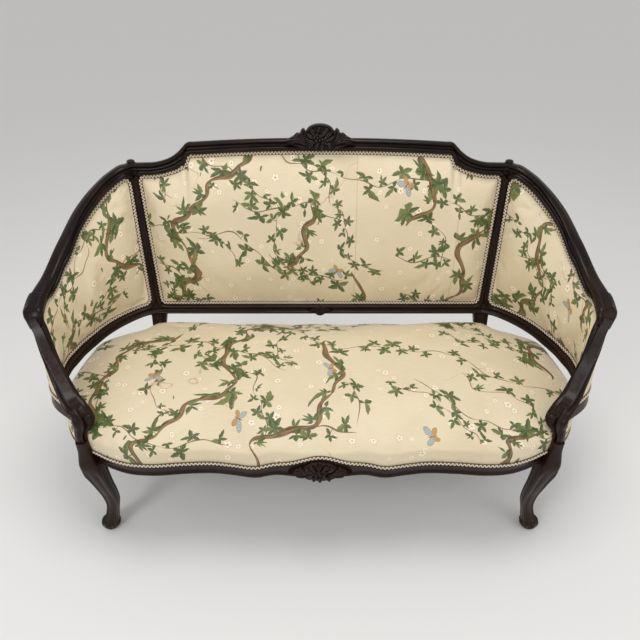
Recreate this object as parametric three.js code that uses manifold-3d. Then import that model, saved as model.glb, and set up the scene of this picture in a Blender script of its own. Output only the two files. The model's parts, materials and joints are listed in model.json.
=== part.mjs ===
// A carved show-wood settee in the French cabriole manner: a serpentine seat on cabriole legs,
// a back that wraps round into wings, and tight upholstery edged with braided gimp.
// Millimetres, +Z up. The settee faces -Y, and X = 0 is its plane of symmetry.
import * as THREE from "three";
import { mergeVertices } from "three/addons/utils/BufferGeometryUtils.js";
import Module from "manifold-3d";

const wasm = await Module();
wasm.setup();

// Driving dimensions of the plan. Depths are measured back from the front legs' centres.
const cornerSpan = 1200; // between the front legs' centres
const seatBow = 112; // how far the seat swells out past the front legs on each side
const wingFootBow = 113; // how far the wings' lower rails do
const elbowReach = 142; // how far the elbows do, to their outside
const earInset = 47; // how far in from the legs' centres the wings join the back at the top
const postInset = 66; // and the rear posts at the lower back rail
const elbowDepth = 171;
const earDepth = 590;
const crestDepth = 606; // middle of the crest rail
const postDepth = 515;
const seatDepth = 510; // outer face of the rear seat rail
const frontBow = 54; // how far the front rail swells forward

// Driving dimensions of the elevation
const crestHeight = 955; // top of the crest rail at the middle
const earHeight = 889;
const elbowHeight = 652;
const railBottom = 285; // underside of the seat rails
const backGap = 50; // open height between the seat rails and the lower rails of the back and wings
const seatCrown = 436; // top of the seat at its middle
const seatRoll = 394; // top of the seat near its edge

// Timber sections
const backRailWidth = 45; // across the face of the rails round the panels
const backRailThickness = 34;
const elbowThickness = 50;
const stileWidth = 50;
const legPostWidth = 40; // rear post below the panels
const armPostWidth = 37;
const armPostDepth = 43;
const seatRailHeight = 80;
const seatRailThickness = 34;
const showFaceHeight = 34; // polished part of the seat rail, under the gimp
const showFaceRise = 33; // how much higher it is over the front rail's carving
const tackingStep = 4; // how far the tacking strip is set back
const tackingWidth = 12;
const legBlock = 48;
const rearFootKick = 72; // how far the rear legs rake back
const rearFootSplay = 7; // how far they lean in
const knobHeight = 11;
const cornerBlock = 130; // side of the square a corner block is sawn from
const cornerBlockHeight = 45;

// Carving
const crestCarvingSpan = 200;
const crestCarvingRise = 39;
const crestCarvingFall = 30;
const frontCarvingSpan = 152;
const frontCarvingRise = 26;
const frontCarvingFall = 44;
const carvingDepth = 19;

// Upholstery
const clothThickness = 2;
const gimpWidth = 11;
const gimpThickness = 3;
const hessianThickness = 1.5;
const cambricThickness = 1;
const webbingWidth = 50;
const webbingThickness = 2.5;
const webbingPitch = 122; // between the long straps
const springPitch = 244; // between the cross straps, each with its springs
const backCrown = 30; // how far the padding swells over the frame
const wingCrown = 22;
const outsideCrown = 8;
const springDome = 22;
const springWire = 4;
const springRadius = 42;
const springWaist = 28;

// Clearances
const seam = 0.3; // between pieces that touch
const fitSeam = 0.5; // between a curved piece and what is cut to fit it
const panelSeam = 0.8; // between padding and the curved timber round it
const lapEdge = 1.2; // from the edge of the cloth to the moulding

// Joints
const tenonLength = 20;
const tenonRoot = 12; // part of the tenon inside its own rail
const tenonThickness = 12;
const seatTenonHeight = 26;
const backTenonHeight = 15;
const stubTenon = 13; // side of the arm post's square tenon

const cornerHalf = cornerSpan / 2;
const earHalf = cornerHalf - earInset;
const postHalf = cornerHalf - postInset;
const elbowHalf = cornerHalf + elbowReach - elbowThickness / 2;
const wingFootHalf = cornerHalf + wingFootBow;
const seatHalf = cornerHalf + seatBow;
const seatSpan = 2 * seatHalf;
const railTop = railBottom + seatRailHeight;
const lowerRailHeight = railTop + backGap;

const v3 = (x, y, z) => new THREE.Vector3(x, y, z);
const lerp = THREE.MathUtils.lerp;

const material = (color, roughness, metalness = 0) =>
  new THREE.MeshStandardMaterial({ color, roughness, metalness });
const walnut = material(0x2e1c14, 0.38);
const beech = material(0xa98256, 0.7);
const printedCotton = material(0xdccfa8, 0.85);
const gimpBraid = material(0xc9b9a2, 0.9);
const hessian = material(0x9c7d50, 0.95);
const horsehair = material(0x3b3028, 1);
const blackCambric = material(0x1c1b1c, 0.95);
const springSteel = material(0x8c8a84, 0.4, 1);

// The geometry of these triangles, turned round if they face inwards.
function facingOut(points, faces) {
  let volume = 0;
  for (let i = 0; i < faces.length; i += 3) {
    const [a, b, c] = [points[faces[i]], points[faces[i + 1]], points[faces[i + 2]]];
    volume += a.dot(v3(0, 0, 0).crossVectors(b, c));
  }
  if (volume < 0) {
    for (let i = 0; i < faces.length; i += 3) [faces[i + 1], faces[i + 2]] = [faces[i + 2], faces[i + 1]];
  }
  const geometry = new THREE.BufferGeometry().setFromPoints(points);
  geometry.setIndex(faces);
  return geometry;
}

// The two triangles between a pair of neighbouring points on each of two rings.
function addQuad(faces, a, b, c, d, turned) {
  if (turned) faces.push(a, b, d, b, c, d);
  else faces.push(a, b, c, a, c, d);
}

const middleOf = (points) => points.reduce((sum, p) => sum.add(p), v3(0, 0, 0)).divideScalar(points.length);

// A closed body through rings of points. Each ring has as many points as the others, and both ends
// close on the middle of their ring. A quad that is turned splits the other way, so that faces which lie
// on each other bend alike.
function ringBody(rings, isTurned = () => false) {
  const count = rings[0].length;
  const points = rings.flat();
  const first = points.push(middleOf(rings[0])) - 1;
  const last = points.push(middleOf(rings[rings.length - 1])) - 1;
  const faces = [];
  const top = (rings.length - 1) * count;
  for (let i = 0; i < count; i++) {
    const next = (i + 1) % count;
    for (let r = 0; r + 1 < rings.length; r++) {
      const [low, high] = [r * count, (r + 1) * count];
      addQuad(faces, low + i, low + next, high + next, high + i, isTurned(r, i));
    }
    faces.push(first, next, i);
    faces.push(last, top + i, top + next);
  }
  return facingOut(points, faces);
}

// A closed loop of sections, with no ends.
function loopBody(rings) {
  const count = rings[0].length;
  const faces = [];
  for (let r = 0; r < rings.length; r++) {
    const [low, high] = [r * count, ((r + 1) % rings.length) * count];
    for (let i = 0; i < count; i++) {
      const next = (i + 1) % count;
      addQuad(faces, low + i, low + next, high + next, high + i);
    }
  }
  return facingOut(rings.flat(), faces);
}

function toSolid(geometry) {
  const bare = geometry.clone();
  for (const name of Object.keys(bare.attributes)) if (name !== "position") bare.deleteAttribute(name);
  const merged = mergeVertices(bare);
  return new wasm.Manifold(
    new wasm.Mesh({
      numProp: 3,
      vertProperties: new Float32Array(merged.attributes.position.array),
      triVerts: new Uint32Array(merged.index.array),
    }),
  );
}

function toGeometry(solid) {
  const mesh = solid.getMesh();
  const geometry = new THREE.BufferGeometry();
  geometry.setAttribute("position", new THREE.BufferAttribute(mesh.vertProperties, mesh.numProp));
  geometry.setIndex(new THREE.BufferAttribute(mesh.triVerts, 1));
  return geometry;
}

const cut = (geometry, ...tools) =>
  toGeometry(tools.reduce((solid, tool) => solid.subtract(toSolid(tool)), toSolid(geometry)));
const join = (geometry, ...others) =>
  toGeometry(others.reduce((solid, other) => solid.add(toSolid(other)), toSolid(geometry)));
const common = (geometry, other) => toGeometry(toSolid(geometry).intersect(toSolid(other)));

function mirrored(geometry) {
  const position = geometry.getAttribute("position");
  const points = [];
  for (let i = 0; i < position.count; i++) {
    points.push(v3(-position.getX(i), position.getY(i), position.getZ(i)));
  }
  return facingOut(points, [...geometry.index.array]);
}
const both = (geometry) => [geometry, mirrored(geometry)];

// A ring of points with each of its sides moved out by a distance.
function grown(points, grow) {
  if (!grow) return points;
  const axis = v3(0, 0, 0);
  const next = (i) => points[(i + 1) % points.length];
  points.forEach((p, i) => {
    axis.add(v3(0, 0, 0).crossVectors(p.clone().sub(points[0]), next(i).clone().sub(p)));
  });
  const outwards = points.map((p, i) => next(i).clone().sub(p).cross(axis).normalize());
  return points.map((p, i) => {
    const out = outwards[i].clone().add(outwards.at(i - 1)).normalize();
    return p.clone().addScaledVector(out, grow / Math.max(0.5, out.dot(outwards[i])));
  });
}

// A bar swept along a curve. The section's first size runs the way it faces, and its second to the
// side that facing x travel gives.
function bar(curve, facing, sectionAt, steps, grow = 0) {
  const rings = [];
  for (let i = 0; i <= steps; i++) {
    const t = i / steps;
    const travel = curve.getTangent(t);
    const side = v3(0, 0, 0).crossVectors(facing, travel).normalize();
    const front = v3(0, 0, 0).crossVectors(travel, side);
    const origin = curve.getPoint(t);
    const place = ([a, b]) => origin.clone().addScaledVector(front, a).addScaledVector(side, b);
    rings.push(grown(sectionAt(t).map(place), grow));
  }
  return ringBody(rings);
}

const chamferShare = 0.18;

// An oblong with cut corners, centred on its middle.
function softOblong(depth, width) {
  const [a, b] = [depth / 2, width / 2];
  const c = Math.min(depth, width) * chamferShare;
  return [
    [-a, -b + c],
    [-a + c, -b],
    [a - c, -b],
    [a, -b + c],
    [a, b - c],
    [a - c, b],
    [-a + c, b],
    [-a, b - c],
  ];
}

function box(sizeX, sizeY, sizeZ, centre, direction = v3(1, 0, 0)) {
  const geometry = new THREE.BoxGeometry(sizeX, sizeY, sizeZ);
  const turn = new THREE.Quaternion().setFromUnitVectors(v3(1, 0, 0), direction.clone().normalize());
  return geometry.applyQuaternion(turn).translate(centre.x, centre.y, centre.z);
}

// A tenon that enters a post at a point, and the mortise that takes it with a seam all round.
function tenon({ at, into, height }, grow = 0) {
  const middle = at.clone().addScaledVector(into.clone().normalize(), (tenonLength - tenonRoot) / 2);
  const length = tenonLength + tenonRoot + 2 * grow;
  return box(length, tenonThickness + 2 * grow, height + 2 * grow, middle, into);
}
const mortise = (joint) => tenon(joint, seam);

// Right half of the crest rail's top edge, from the middle to the ear: shares of the ear's half span,
// of the way back from ear to crest, and of the rise from ear to crest
const crestShares = [
  [0, 1, 1],
  [0.14, 1, 1],
  [0.28, 0.98, 0.985],
  [0.42, 0.95, 0.95],
  [0.56, 0.92, 0.9],
  [0.655, 0.88, 0.855],
  [0.693, 0.86, 0.83],
  [0.732, 0.65, 0.54],
  [0.776, 0.43, 0.28],
  [0.82, 0.29, 0.125],
  [0.88, 0.21, 0.015],
  [0.94, 0.14, 0],
  [1, 0, 0],
];

// The wing's top edge, from ear to elbow: shares of the way out, of the way forward and of the way down
const wingTopShares = [
  [0, 0, 0],
  [0.147, 0.077, 0.004],
  [0.362, 0.147, 0.084],
  [0.57, 0.225, 0.21],
  [0.785, 0.35, 0.4],
  [0.945, 0.5, 0.64],
  [1.045, 0.715, 0.88],
  [1.05, 0.87, 0.945],
  [1, 1, 1],
];

// The wing's lower rail, from the rear post: shares of the way out to its widest and of the post's depth
const wingFootShares = [
  [0, 1],
  [0.23, 0.97],
  [0.53, 0.864],
  [0.737, 0.746],
  [0.855, 0.63],
  [0.933, 0.538],
  [0.966, 0.464],
  [0.995, 0.377],
  [0.927, 0.243],
  [0.75, 0.132],
];

// The arm post's middle line, from the leg block to the elbow: shares of the way out, back and up
const armShares = [
  [0.01, 0.01, 0],
  [0, 0.02, 0.07],
  [-0.03, 0.065, 0.14],
  [-0.03, 0.115, 0.22],
  [0.06, 0.18, 0.28],
  [0.25, 0.3, 0.352],
  [0.43, 0.45, 0.443],
  [0.57, 0.58, 0.554],
  [0.7, 0.7, 0.68],
  [0.86, 0.87, 0.82],
  [0.965, 0.96, 0.916],
  [1, 1, 1],
];

const mirrorShares = (shares) => {
  const otherHalf = shares.slice(1).reverse();
  return [...otherHalf.map(([x, ...rest]) => [-x, ...rest]), ...shares];
};

const crestCurve = new THREE.CatmullRomCurve3(
  mirrorShares(crestShares).map(([x, y, z]) =>
    v3(x * earHalf, lerp(earDepth, crestDepth, y), lerp(earHeight, crestHeight, z)),
  ),
);
const wingTopCurve = new THREE.CatmullRomCurve3(
  wingTopShares.map(([x, y, z]) =>
    v3(lerp(earHalf, elbowHalf, x), lerp(earDepth, elbowDepth, y), lerp(earHeight, elbowHeight, z)),
  ),
);
const armCurve = new THREE.CatmullRomCurve3(
  armShares.map(([x, y, z]) =>
    v3(lerp(cornerHalf, elbowHalf, x), elbowDepth * y, lerp(railTop, elbowHeight, z)),
  ),
);

// The arm post's middle line at a height, found by halving.
function armAt(height) {
  let [low, high] = [0, 1];
  for (let i = 0; i < 24; i++) {
    const middle = (low + high) / 2;
    if (armCurve.getPoint(middle).z < height) low = middle;
    else high = middle;
  }
  return armCurve.getPoint(low);
}

const wingFootCurve = new THREE.CatmullRomCurve3([
  ...wingFootShares.map(([x, y]) => v3(lerp(postHalf, wingFootHalf, x), postDepth * y, lowerRailHeight)),
  armAt(lowerRailHeight),
]);

// The back's two surfaces are ruled between their upper and lower edges, u along the rails and h up.
// The wing's far end bends to follow the arm post.
const centreBack = {
  start: -1,
  upper: (u) => crestCurve.getPoint((u + 1) / 2),
  lower: (u) => v3((crestCurve.getPoint((u + 1) / 2).x / earHalf) * postHalf, postDepth, lowerRailHeight),
  bend: () => v3(0, 0, 0),
};
const wing = {
  start: 0,
  upper: (u) => wingTopCurve.getPointAt(u),
  lower: (u) => wingFootCurve.getPointAt(u),
  bend: (u, h) => {
    const straight = wing.lower(1).lerp(wing.upper(1), h);
    return armAt(straight.z).sub(straight).multiplyScalar(u ** 3);
  },
};

const difference = 1e-3; // step of the numeric slopes, as a share of a surface
const within = (share, start) => Math.min(1, Math.max(start, share));

function surfacePoint(surface, u, h) {
  return surface.lower(u).lerp(surface.upper(u), h).add(surface.bend(u, h));
}

function acrossSlope(surface, u, h) {
  const [low, high] = [within(u - difference, surface.start), within(u + difference, surface.start)];
  return surfacePoint(surface, high, h).sub(surfacePoint(surface, low, h)).divideScalar(high - low);
}

function upSlope(surface, u, h) {
  const [low, high] = [within(h - difference, 0), within(h + difference, 0)];
  return surfacePoint(surface, u, high).sub(surfacePoint(surface, u, low)).divideScalar(high - low);
}

function surfaceNormal(surface, u, h) {
  return v3(0, 0, 0).crossVectors(acrossSlope(surface, u, h), upSlope(surface, u, h)).normalize();
}

// How much of h, or of u, a width square to the rail or post takes.
function upShare(surface, u, h, width) {
  const across = acrossSlope(surface, u, h).normalize();
  return width / v3(0, 0, 0).crossVectors(across, upSlope(surface, u, h)).length();
}
const acrossShare = (surface, u, h, width) => width / acrossSlope(surface, u, h).length();

function layerPoint(surface, u, h, proud) {
  return surfacePoint(surface, u, h).addScaledVector(surfaceNormal(surface, u, h), proud);
}

// Heights over the surface's middle: the two tacking strips, and the layers between and over them
const halfThickness = backRailThickness / 2;
const backStrip = tackingStep - halfThickness;
const frontStrip = tackingStep - gimpThickness / 3;
const coverBack = frontStrip + fitSeam;
const coverFront = coverBack + clothThickness;
const outsideFront = backStrip - fitSeam;
const outsideBack = outsideFront - clothThickness;
const hessianBack = -halfThickness / 3;
const hessianFront = hessianBack + hessianThickness;

// The polished moulding of the rails round the panels: shares of half the thickness towards the sitter,
// and of the moulding's width in from the outer edge
const mouldingShares = [
  [-1, 0],
  [0.55, 0],
  [1, 0.25],
  [0.64, 0.5],
  [0.95, 0.86],
  [0.85, 1],
];
const mouldingWidth = backRailWidth - tackingWidth;

function railRing(surface, u, edge, thickness) {
  const half = thickness / 2;
  const at = (proud, inwards) => {
    const share = upShare(surface, u, edge, inwards);
    return layerPoint(surface, u, edge ? 1 - share : share, proud);
  };
  return [
    ...mouldingShares.map(([a, b]) => at(a * half, b * mouldingWidth)),
    at(frontStrip, mouldingWidth),
    at(frontStrip, backRailWidth),
    at(backStrip, backRailWidth),
    at(backStrip, mouldingWidth),
    at(-half, mouldingWidth),
  ];
}

const lapWidth = tackingWidth - lapEdge; // of a cover over a tacking strip

// Where a panel stands between its posts: the reach of the timber at its two ends, and the shares of
// the way across at which its loops, and the rails beside it, have a point. Over the back they fall on
// the crest curve's own points, and close up at its shoulders.
const crestPointShares = [-10, -8, -7, -6, -4, 0, 4, 6, 7, 8, 10].map(
  (point) => point / (crestShares.length - 1),
);
const centreEdge = 1 - acrossShare(centreBack, 1, 0.5, stileWidth / 2);
const centrePanel = {
  surface: centreBack,
  crown: backCrown,
  startReach: stileWidth / 2,
  endReach: stileWidth / 2,
  acrossShares: [0, ...crestPointShares.map((u) => (u / centreEdge + 1) / 2), 1],
  upSteps: 4,
};
const wingSteps = 7;
const wingPanel = {
  surface: wing,
  crown: wingCrown,
  startReach: stileWidth / 2,
  endReach: armPostDepth / 2,
  acrossShares: Array.from({ length: wingSteps + 1 }, (_, i) => i / wingSteps),
  upSteps: 4,
};

// From shares of the way across and up a panel to the surface's u and h. With a lap the panel's edges
// stand out over the timber, and nothing else moves, so that each layer bends at the same places.
function panelPlace(panel, across, up, lap) {
  const { surface, startReach, endReach } = panel;
  const start = surface.start + acrossShare(surface, surface.start, up, startReach);
  const end = 1 - acrossShare(surface, 1, up, endReach);
  const side = (across === 1) - (across === 0);
  const u = lerp(start, end, across) + side * acrossShare(surface, side < 0 ? surface.start : 1, up, lap);
  const low = upShare(surface, u, 0, backRailWidth);
  const high = 1 - upShare(surface, u, 1, backRailWidth);
  const edge = (up === 1) - (up === 0);
  return [u, lerp(low, high, up) + edge * upShare(surface, u, up, lap)];
}

const panelUps = ({ upSteps }) => Array.from({ length: upSteps + 1 }, (_, i) => i / upSteps);

// The points of a loop round a panel, drawn in towards the panel's middle by a share.
function panelRing(panel, share, proud, lap = -panelSeam) {
  const acrosses = panel.acrossShares;
  const ups = panelUps(panel);
  const places = [
    ...acrosses.slice(0, -1).map((across) => [across, 1]),
    ...ups.slice(1).reverse().map((up) => [1, up]),
    ...acrosses.slice(1).reverse().map((across) => [across, 0]),
    ...ups.slice(0, -1).map((up) => [0, up]),
  ];
  return places.map(([across, up]) => {
    const [u, h] = panelPlace(panel, lerp(0.5, across, share), lerp(0.5, up, share), lap);
    return layerPoint(panel.surface, u, h, proud);
  });
}

// How a panel swells from its edge: share of the way out and share of the crown
const crownShares = [
  [0.1, 1],
  [0.55, 0.86],
  [0.85, 0.46],
  [1, 0],
];
const flatShares = [
  [0.1, 1],
  [0.55, 0.8],
  [1, 0],
];

// A layer between two swelling faces. Each face has its shares, its height at the edge and its crown.
function panelLayer(panel, back, front, laps = false) {
  const faceRings = ({ shares, edge, crown }) => {
    const rings = shares.map(([share, rise]) => panelRing(panel, share, edge + rise * crown));
    if (laps) rings.push(panelRing(panel, 1, edge, lapWidth));
    return rings;
  };
  const backs = faceRings(back);
  return ringBody([...backs, ...faceRings(front).reverse()], (ring) => ring >= backs.length);
}

const insideCover = (panel) =>
  panelLayer(
    panel,
    { shares: crownShares, edge: coverBack, crown: panel.crown },
    { shares: crownShares, edge: coverFront, crown: panel.crown },
    true,
  );
const panelPad = (panel) =>
  panelLayer(
    panel,
    { shares: flatShares, edge: hessianFront + seam, crown: 0 },
    { shares: crownShares, edge: frontStrip, crown: panel.crown },
  );
const panelHessian = (panel) =>
  panelLayer(
    panel,
    { shares: flatShares, edge: hessianBack, crown: 0 },
    { shares: flatShares, edge: hessianFront, crown: 0 },
  );
const outsideCover = (panel) =>
  panelLayer(
    panel,
    { shares: flatShares, edge: outsideBack, crown: -outsideCrown },
    { shares: flatShares, edge: outsideFront, crown: -outsideCrown },
    true,
  );

// The gimp over a cover's tacked edge, from the height next to the cover to its own face.
function panelGimp(panel, near, far) {
  const loops = [
    panelRing(panel, 1, near, lapWidth + seam - gimpWidth),
    panelRing(panel, 1, near, lapWidth + seam),
    panelRing(panel, 1, far, lapWidth + seam),
    panelRing(panel, 1, far, lapWidth + seam - gimpWidth),
  ];
  return loopBody(loops[0].map((_, i) => loops.map((loop) => loop[i])));
}
const insideGimp = (panel) => panelGimp(panel, coverFront + fitSeam, coverFront + fitSeam + gimpThickness);
const outsideGimp = (panel) =>
  panelGimp(panel, outsideBack - fitSeam, outsideBack - fitSeam - gimpThickness);

// The rings of a rail along a panel's upper or lower edge, each beside one of the panel's points. The
// rail's ends run on until the given reach is left to the middle of the post.
function railRings(panel, edge, thicknessAt, startLeft, endLeft, grow = 0, shares = panel.acrossShares) {
  const { surface } = panel;
  const places = shares.map((across) => panelPlace(panel, across, edge, 0)[0]);
  const first = surface.start + acrossShare(surface, surface.start, edge, startLeft);
  const last = 1 - acrossShare(surface, 1, edge, endLeft);
  return [first, ...places, last].map((u) => grown(railRing(surface, u, edge, thicknessAt(u)), grow));
}

// A timber whose section lists so many points of its front face first, with that face split the way
// the cloth over it is.
const timber = (rings, frontPoints) => ringBody(rings, (ring, i) => i < frontPoints);
const railFront = mouldingShares.length + 1;

const evenThickness = () => backRailThickness;
const wingThickness = (u) => lerp(backRailThickness, elbowThickness, u ** 3);
const insidePost = stileWidth / 4;
const crestRings = (grow = 0) => railRings(centrePanel, 1, evenThickness, insidePost, insidePost, grow);
const straightShares = [0, 0.25, 0.5, 0.75, 1];
const lowerRail = (grow = 0) =>
  ringBody(railRings(centrePanel, 0, evenThickness, insidePost, insidePost, grow, straightShares));
const wingLowerRail = (grow = 0) =>
  timber(railRings(wingPanel, 0, evenThickness, insidePost, armPostDepth / 4, grow).reverse(), railFront);

// The knuckle at the elbow: shares of the elbow's thickness forward, and of its section
const knuckleShares = [
  [0.2, 1.04],
  [0.42, 0.88],
  [0.5, 0.5],
];

function wingTopRail(grow = 0) {
  const rings = railRings(wingPanel, 1, wingThickness, insidePost, 0, grow);
  const end = rings[rings.length - 1];
  const middle = middleOf(end);
  const forward = acrossSlope(wing, 1, 1).normalize();
  for (const [along, share] of knuckleShares) {
    const ring = end.map((p) => p.clone().sub(middle).multiplyScalar(share).add(middle));
    rings.push(ring.map((p) => p.addScaledVector(forward, along * elbowThickness + grow)));
  }
  return timber(rings, railFront);
}

// The rear post's section: shares of half its width, first towards the back panel, and the height
const tackingShare = 1 - tackingWidth / (stileWidth / 2);
const strips = [
  [-1, frontStrip],
  [-tackingShare * 1.02, frontStrip],
  [-tackingShare * 0.8, halfThickness],
  [0, 0.8 * halfThickness],
  [tackingShare * 0.8, halfThickness],
  [tackingShare * 1.02, frontStrip],
  [1, frontStrip],
  [1, backStrip],
  [tackingShare * 1.02, backStrip],
  [tackingShare, -halfThickness],
  [-tackingShare, -halfThickness],
  [-tackingShare * 1.02, backStrip],
  [-1, backStrip],
];
const stileFront = strips.filter(([, proud]) => proud > 0).length - 1;

// Where the stile has a point: u and h on the back and on the wing, each at the edge of its own panel.
const stileEdges = panelUps(centrePanel).map((up) => [
  panelPlace(centrePanel, 1, up, 0),
  panelPlace(wingPanel, 0, up, 0),
]);
const stileEnd = (h) => [
  [1 - acrossShare(centreBack, 1, h, stileWidth / 2), h],
  [acrossShare(wing, 0, h, stileWidth / 2), h],
];
const stileLevels = [stileEnd(0), ...stileEdges, stileEnd(1)];

function stileRing([[backEdge, backUp], [wingEdge, wingUp]]) {
  const normal = surfaceNormal(centreBack, 1, backUp).add(surfaceNormal(wing, 0, wingUp)).normalize();
  return strips.map(([across, proud]) => {
    if (across < 0) return layerPoint(centreBack, lerp(1, backEdge, -across), backUp, proud);
    if (across > 0) return layerPoint(wing, lerp(0, wingEdge, across), wingUp, proud);
    return surfacePoint(centreBack, 1, backUp).addScaledVector(normal, proud);
  });
}

const legRing = (centre, width) =>
  strips.map(([across, proud]) =>
    v3(centre.x + (across * width) / 2, centre.y - (Math.sign(proud) * width) / 2, centre.z),
  );

// The rear leg under the seat rail: share of the height, and share of the kick back
const rearLegShares = [
  [0, 1],
  [0.2, 0.72],
  [0.5, 0.3],
  [0.8, 0.06],
  [1, 0],
];
const rearFootShare = 0.8; // of the post's width
const rearPostDepth = seatDepth - legPostWidth / 2;
const knobShares = [
  [0.35, 0.5],
  [1, 0.16],
]; // of the knob's height, and of the stile's section

function rearPost(grow = 0) {
  const rings = [];
  for (const [rise, kick] of rearLegShares) {
    const x = postHalf - rearFootSplay * (1 - rise);
    const centre = v3(x, rearPostDepth + rearFootKick * kick, rise * railBottom);
    rings.push(legRing(centre, legPostWidth * lerp(rearFootShare, 1, Math.min(1, 2 * rise))));
  }
  rings.push(legRing(v3(postHalf, rearPostDepth, railTop), legPostWidth));
  for (const level of stileLevels) rings.push(stileRing(level));
  const top = surfacePoint(centreBack, 1, 1);
  for (const [rise, share] of knobShares) {
    const lift = v3(0, 0, rise * knobHeight);
    rings.push(stileRing(stileEnd(1)).map((p) => p.sub(top).multiplyScalar(share).add(top).add(lift)));
  }
  return timber(rings.map((ring) => grown(ring, grow)), stileFront);
}

// The arm post's section: shares of half its depth, first towards the wing's panel, and the height
const armHalf = armPostWidth / 2;
const armTackingShare = 1 - tackingWidth / (armPostDepth / 2);
const armSection = [
  [-1, frontStrip],
  [-armTackingShare * 1.02, frontStrip],
  [-armTackingShare, 0.85 * armHalf],
  [-armTackingShare * 0.5, armHalf],
  [armTackingShare * 0.4, 0.8 * armHalf],
  [0.78, 0.95 * armHalf],
  [1, 0.6 * armHalf],
  [1, -0.6 * armHalf],
  [0.78, -armHalf],
  [-armTackingShare, -armHalf],
  [-armTackingShare * 1.02, backStrip],
  [-1, backStrip],
];
const armNeckShare = 0.1; // how much of the way up the post is neck all round
const armFront = armSection.filter(([, proud]) => proud > 0).length - 1;
const armBaseShares = [0, 0.4, 0.7, 0.88]; // of the way up from the seat rail to the wing's lower rail

// The post's narrow neck and the scroll over it: shares of the way up, of the section's width and depth,
// and of the width by which the front of the section leans in over the seat
const scrollShares = [
  [0, 0.72, 0.66, 0],
  [0.08, 0.72, 0.66, 0],
  [0.125, 0.96, 0.84, 0.02],
  [0.17, 1.3, 1.06, 0.04],
  [0.23, 1.46, 1.12, 0.05],
  [0.31, 1.38, 1.08, 0.05],
  [0.45, 1.18, 1.02, 0.03],
  [0.62, 1.05, 1, 0],
  [1, 1, 1, 0],
];

// The values of a table of shares at its first column's value.
function along(table, value) {
  const above = Math.max(1, table.findIndex(([first]) => first >= value));
  const [low, high] = [table[above - 1], table[above]];
  const share = (value - low[0]) / (high[0] - low[0]);
  return low.slice(1).map((from, i) => lerp(from, high[i + 1], share));
}

function armPost(grow = 0) {
  const topShare = upShare(wing, 1, 1, backRailWidth * 0.75);
  const levels = [
    ...armBaseShares.map((share) => ({ h: 0, height: lerp(railTop, lowerRailHeight, share) })),
    ...[0, 1 - topShare].map((h) => ({ h, edge: 1 - acrossShare(wing, 1, h, armPostDepth / 2) })),
  ];
  const edges = panelUps(wingPanel).map((up) => panelPlace(wingPanel, 1, up, 0));
  levels.splice(-1, 0, ...edges.map(([edge, h]) => ({ h, edge })));
  const rings = levels.map(({ h, edge, height = lerp(lowerRailHeight, elbowHeight, h) }) => {
    const middle = armAt(height);
    const across = acrossSlope(wing, 1, h).normalize();
    const out = surfaceNormal(wing, 1, h);
    const rise = (height - railTop) / (elbowHeight - railTop);
    const [width, depth, lean] = along(scrollShares, rise);
    return armSection.map(([a, proud]) => {
      if (edge && a <= -armTackingShare) return layerPoint(wing, lerp(1, edge, -a), h, proud);
      const swell = a > 0 || rise < armNeckShare ? width : Math.min(1, width);
      const reach = (a * depth * armPostDepth) / 2;
      const sideways = proud * swell + Math.max(0, a) * lean * armPostWidth;
      return middle.clone().addScaledVector(across, reach).addScaledVector(out, sideways);
    });
  });
  return timber(rings.map((ring) => grown(ring, grow)), armFront);
}

// The cabriole leg, from the foot up: shares of the block's width out and back, of the height, and of
// the block's width
const legShares = [
  [0.2, 0.2, 0, 0.6],
  [0.21, 0.2, 0.035, 0.78],
  [0.1, 0.2, 0.1, 0.76],
  [-0.14, 0.24, 0.2, 0.65],
  [-0.33, 0.22, 0.3, 0.63],
  [-0.37, 0.12, 0.42, 0.66],
  [-0.34, 0, 0.52, 0.72],
  [-0.22, -0.07, 0.66, 0.86],
  [-0.06, -0.04, 0.78, 1],
  [0.02, 0, 0.85, 0.84],
  [0.03, 0, 0.92, 0.66],
  [0.03, 0, 1, 0.6],
];
const legSteps = 16;

function frontLeg(grow = 0) {
  const curve = new THREE.CatmullRomCurve3(
    legShares.map(([x, y, z]) => v3(cornerHalf + x * legBlock, y * legBlock, z * railTop)),
  );
  const rings = [];
  for (let i = 0; i <= legSteps; i++) {
    const place = (i / legSteps) * (legShares.length - 1);
    const low = Math.min(Math.floor(place), legShares.length - 2);
    const width = lerp(legShares[low][3], legShares[low + 1][3], place - low) * legBlock;
    const centre = curve.getPoint(i / legSteps);
    const ring = softOblong(width, width).map(([a, b]) => v3(centre.x + b, centre.y + a, centre.z));
    rings.push(grown(ring, grow));
  }
  return ringBody(rings);
}

// Right half of the seat's outline. Front: shares of the corner's half span and of the bow
const frontShares = [
  [0, 0.93],
  [0.1, 0.92],
  [0.19, 0.84],
  [0.27, 1],
  [0.36, 0.86],
  [0.45, 0.74],
  [0.57, 0.78],
  [0.7, 0.89],
  [0.8, 0.8],
  [0.88, 0.52],
  [0.94, 0.2],
];
// Side: shares of the way from corner to widest, and of the seat's depth
const sideShares = [
  [0.04, 0.02],
  [0.34, 0.06],
  [0.6, 0.13],
  [0.82, 0.225],
  [0.97, 0.34],
  [1, 0.46],
  [0.96, 0.62],
  [0.82, 0.76],
];
// Rear corner: shares of the way from post to widest, and of the seat's depth
const rearShares = [
  [0.55, 0.86],
  [0.25, 0.925],
  [0.08, 0.98],
];
const rearLineShares = [1, 0.5, 0, -0.5, -1];

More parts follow.
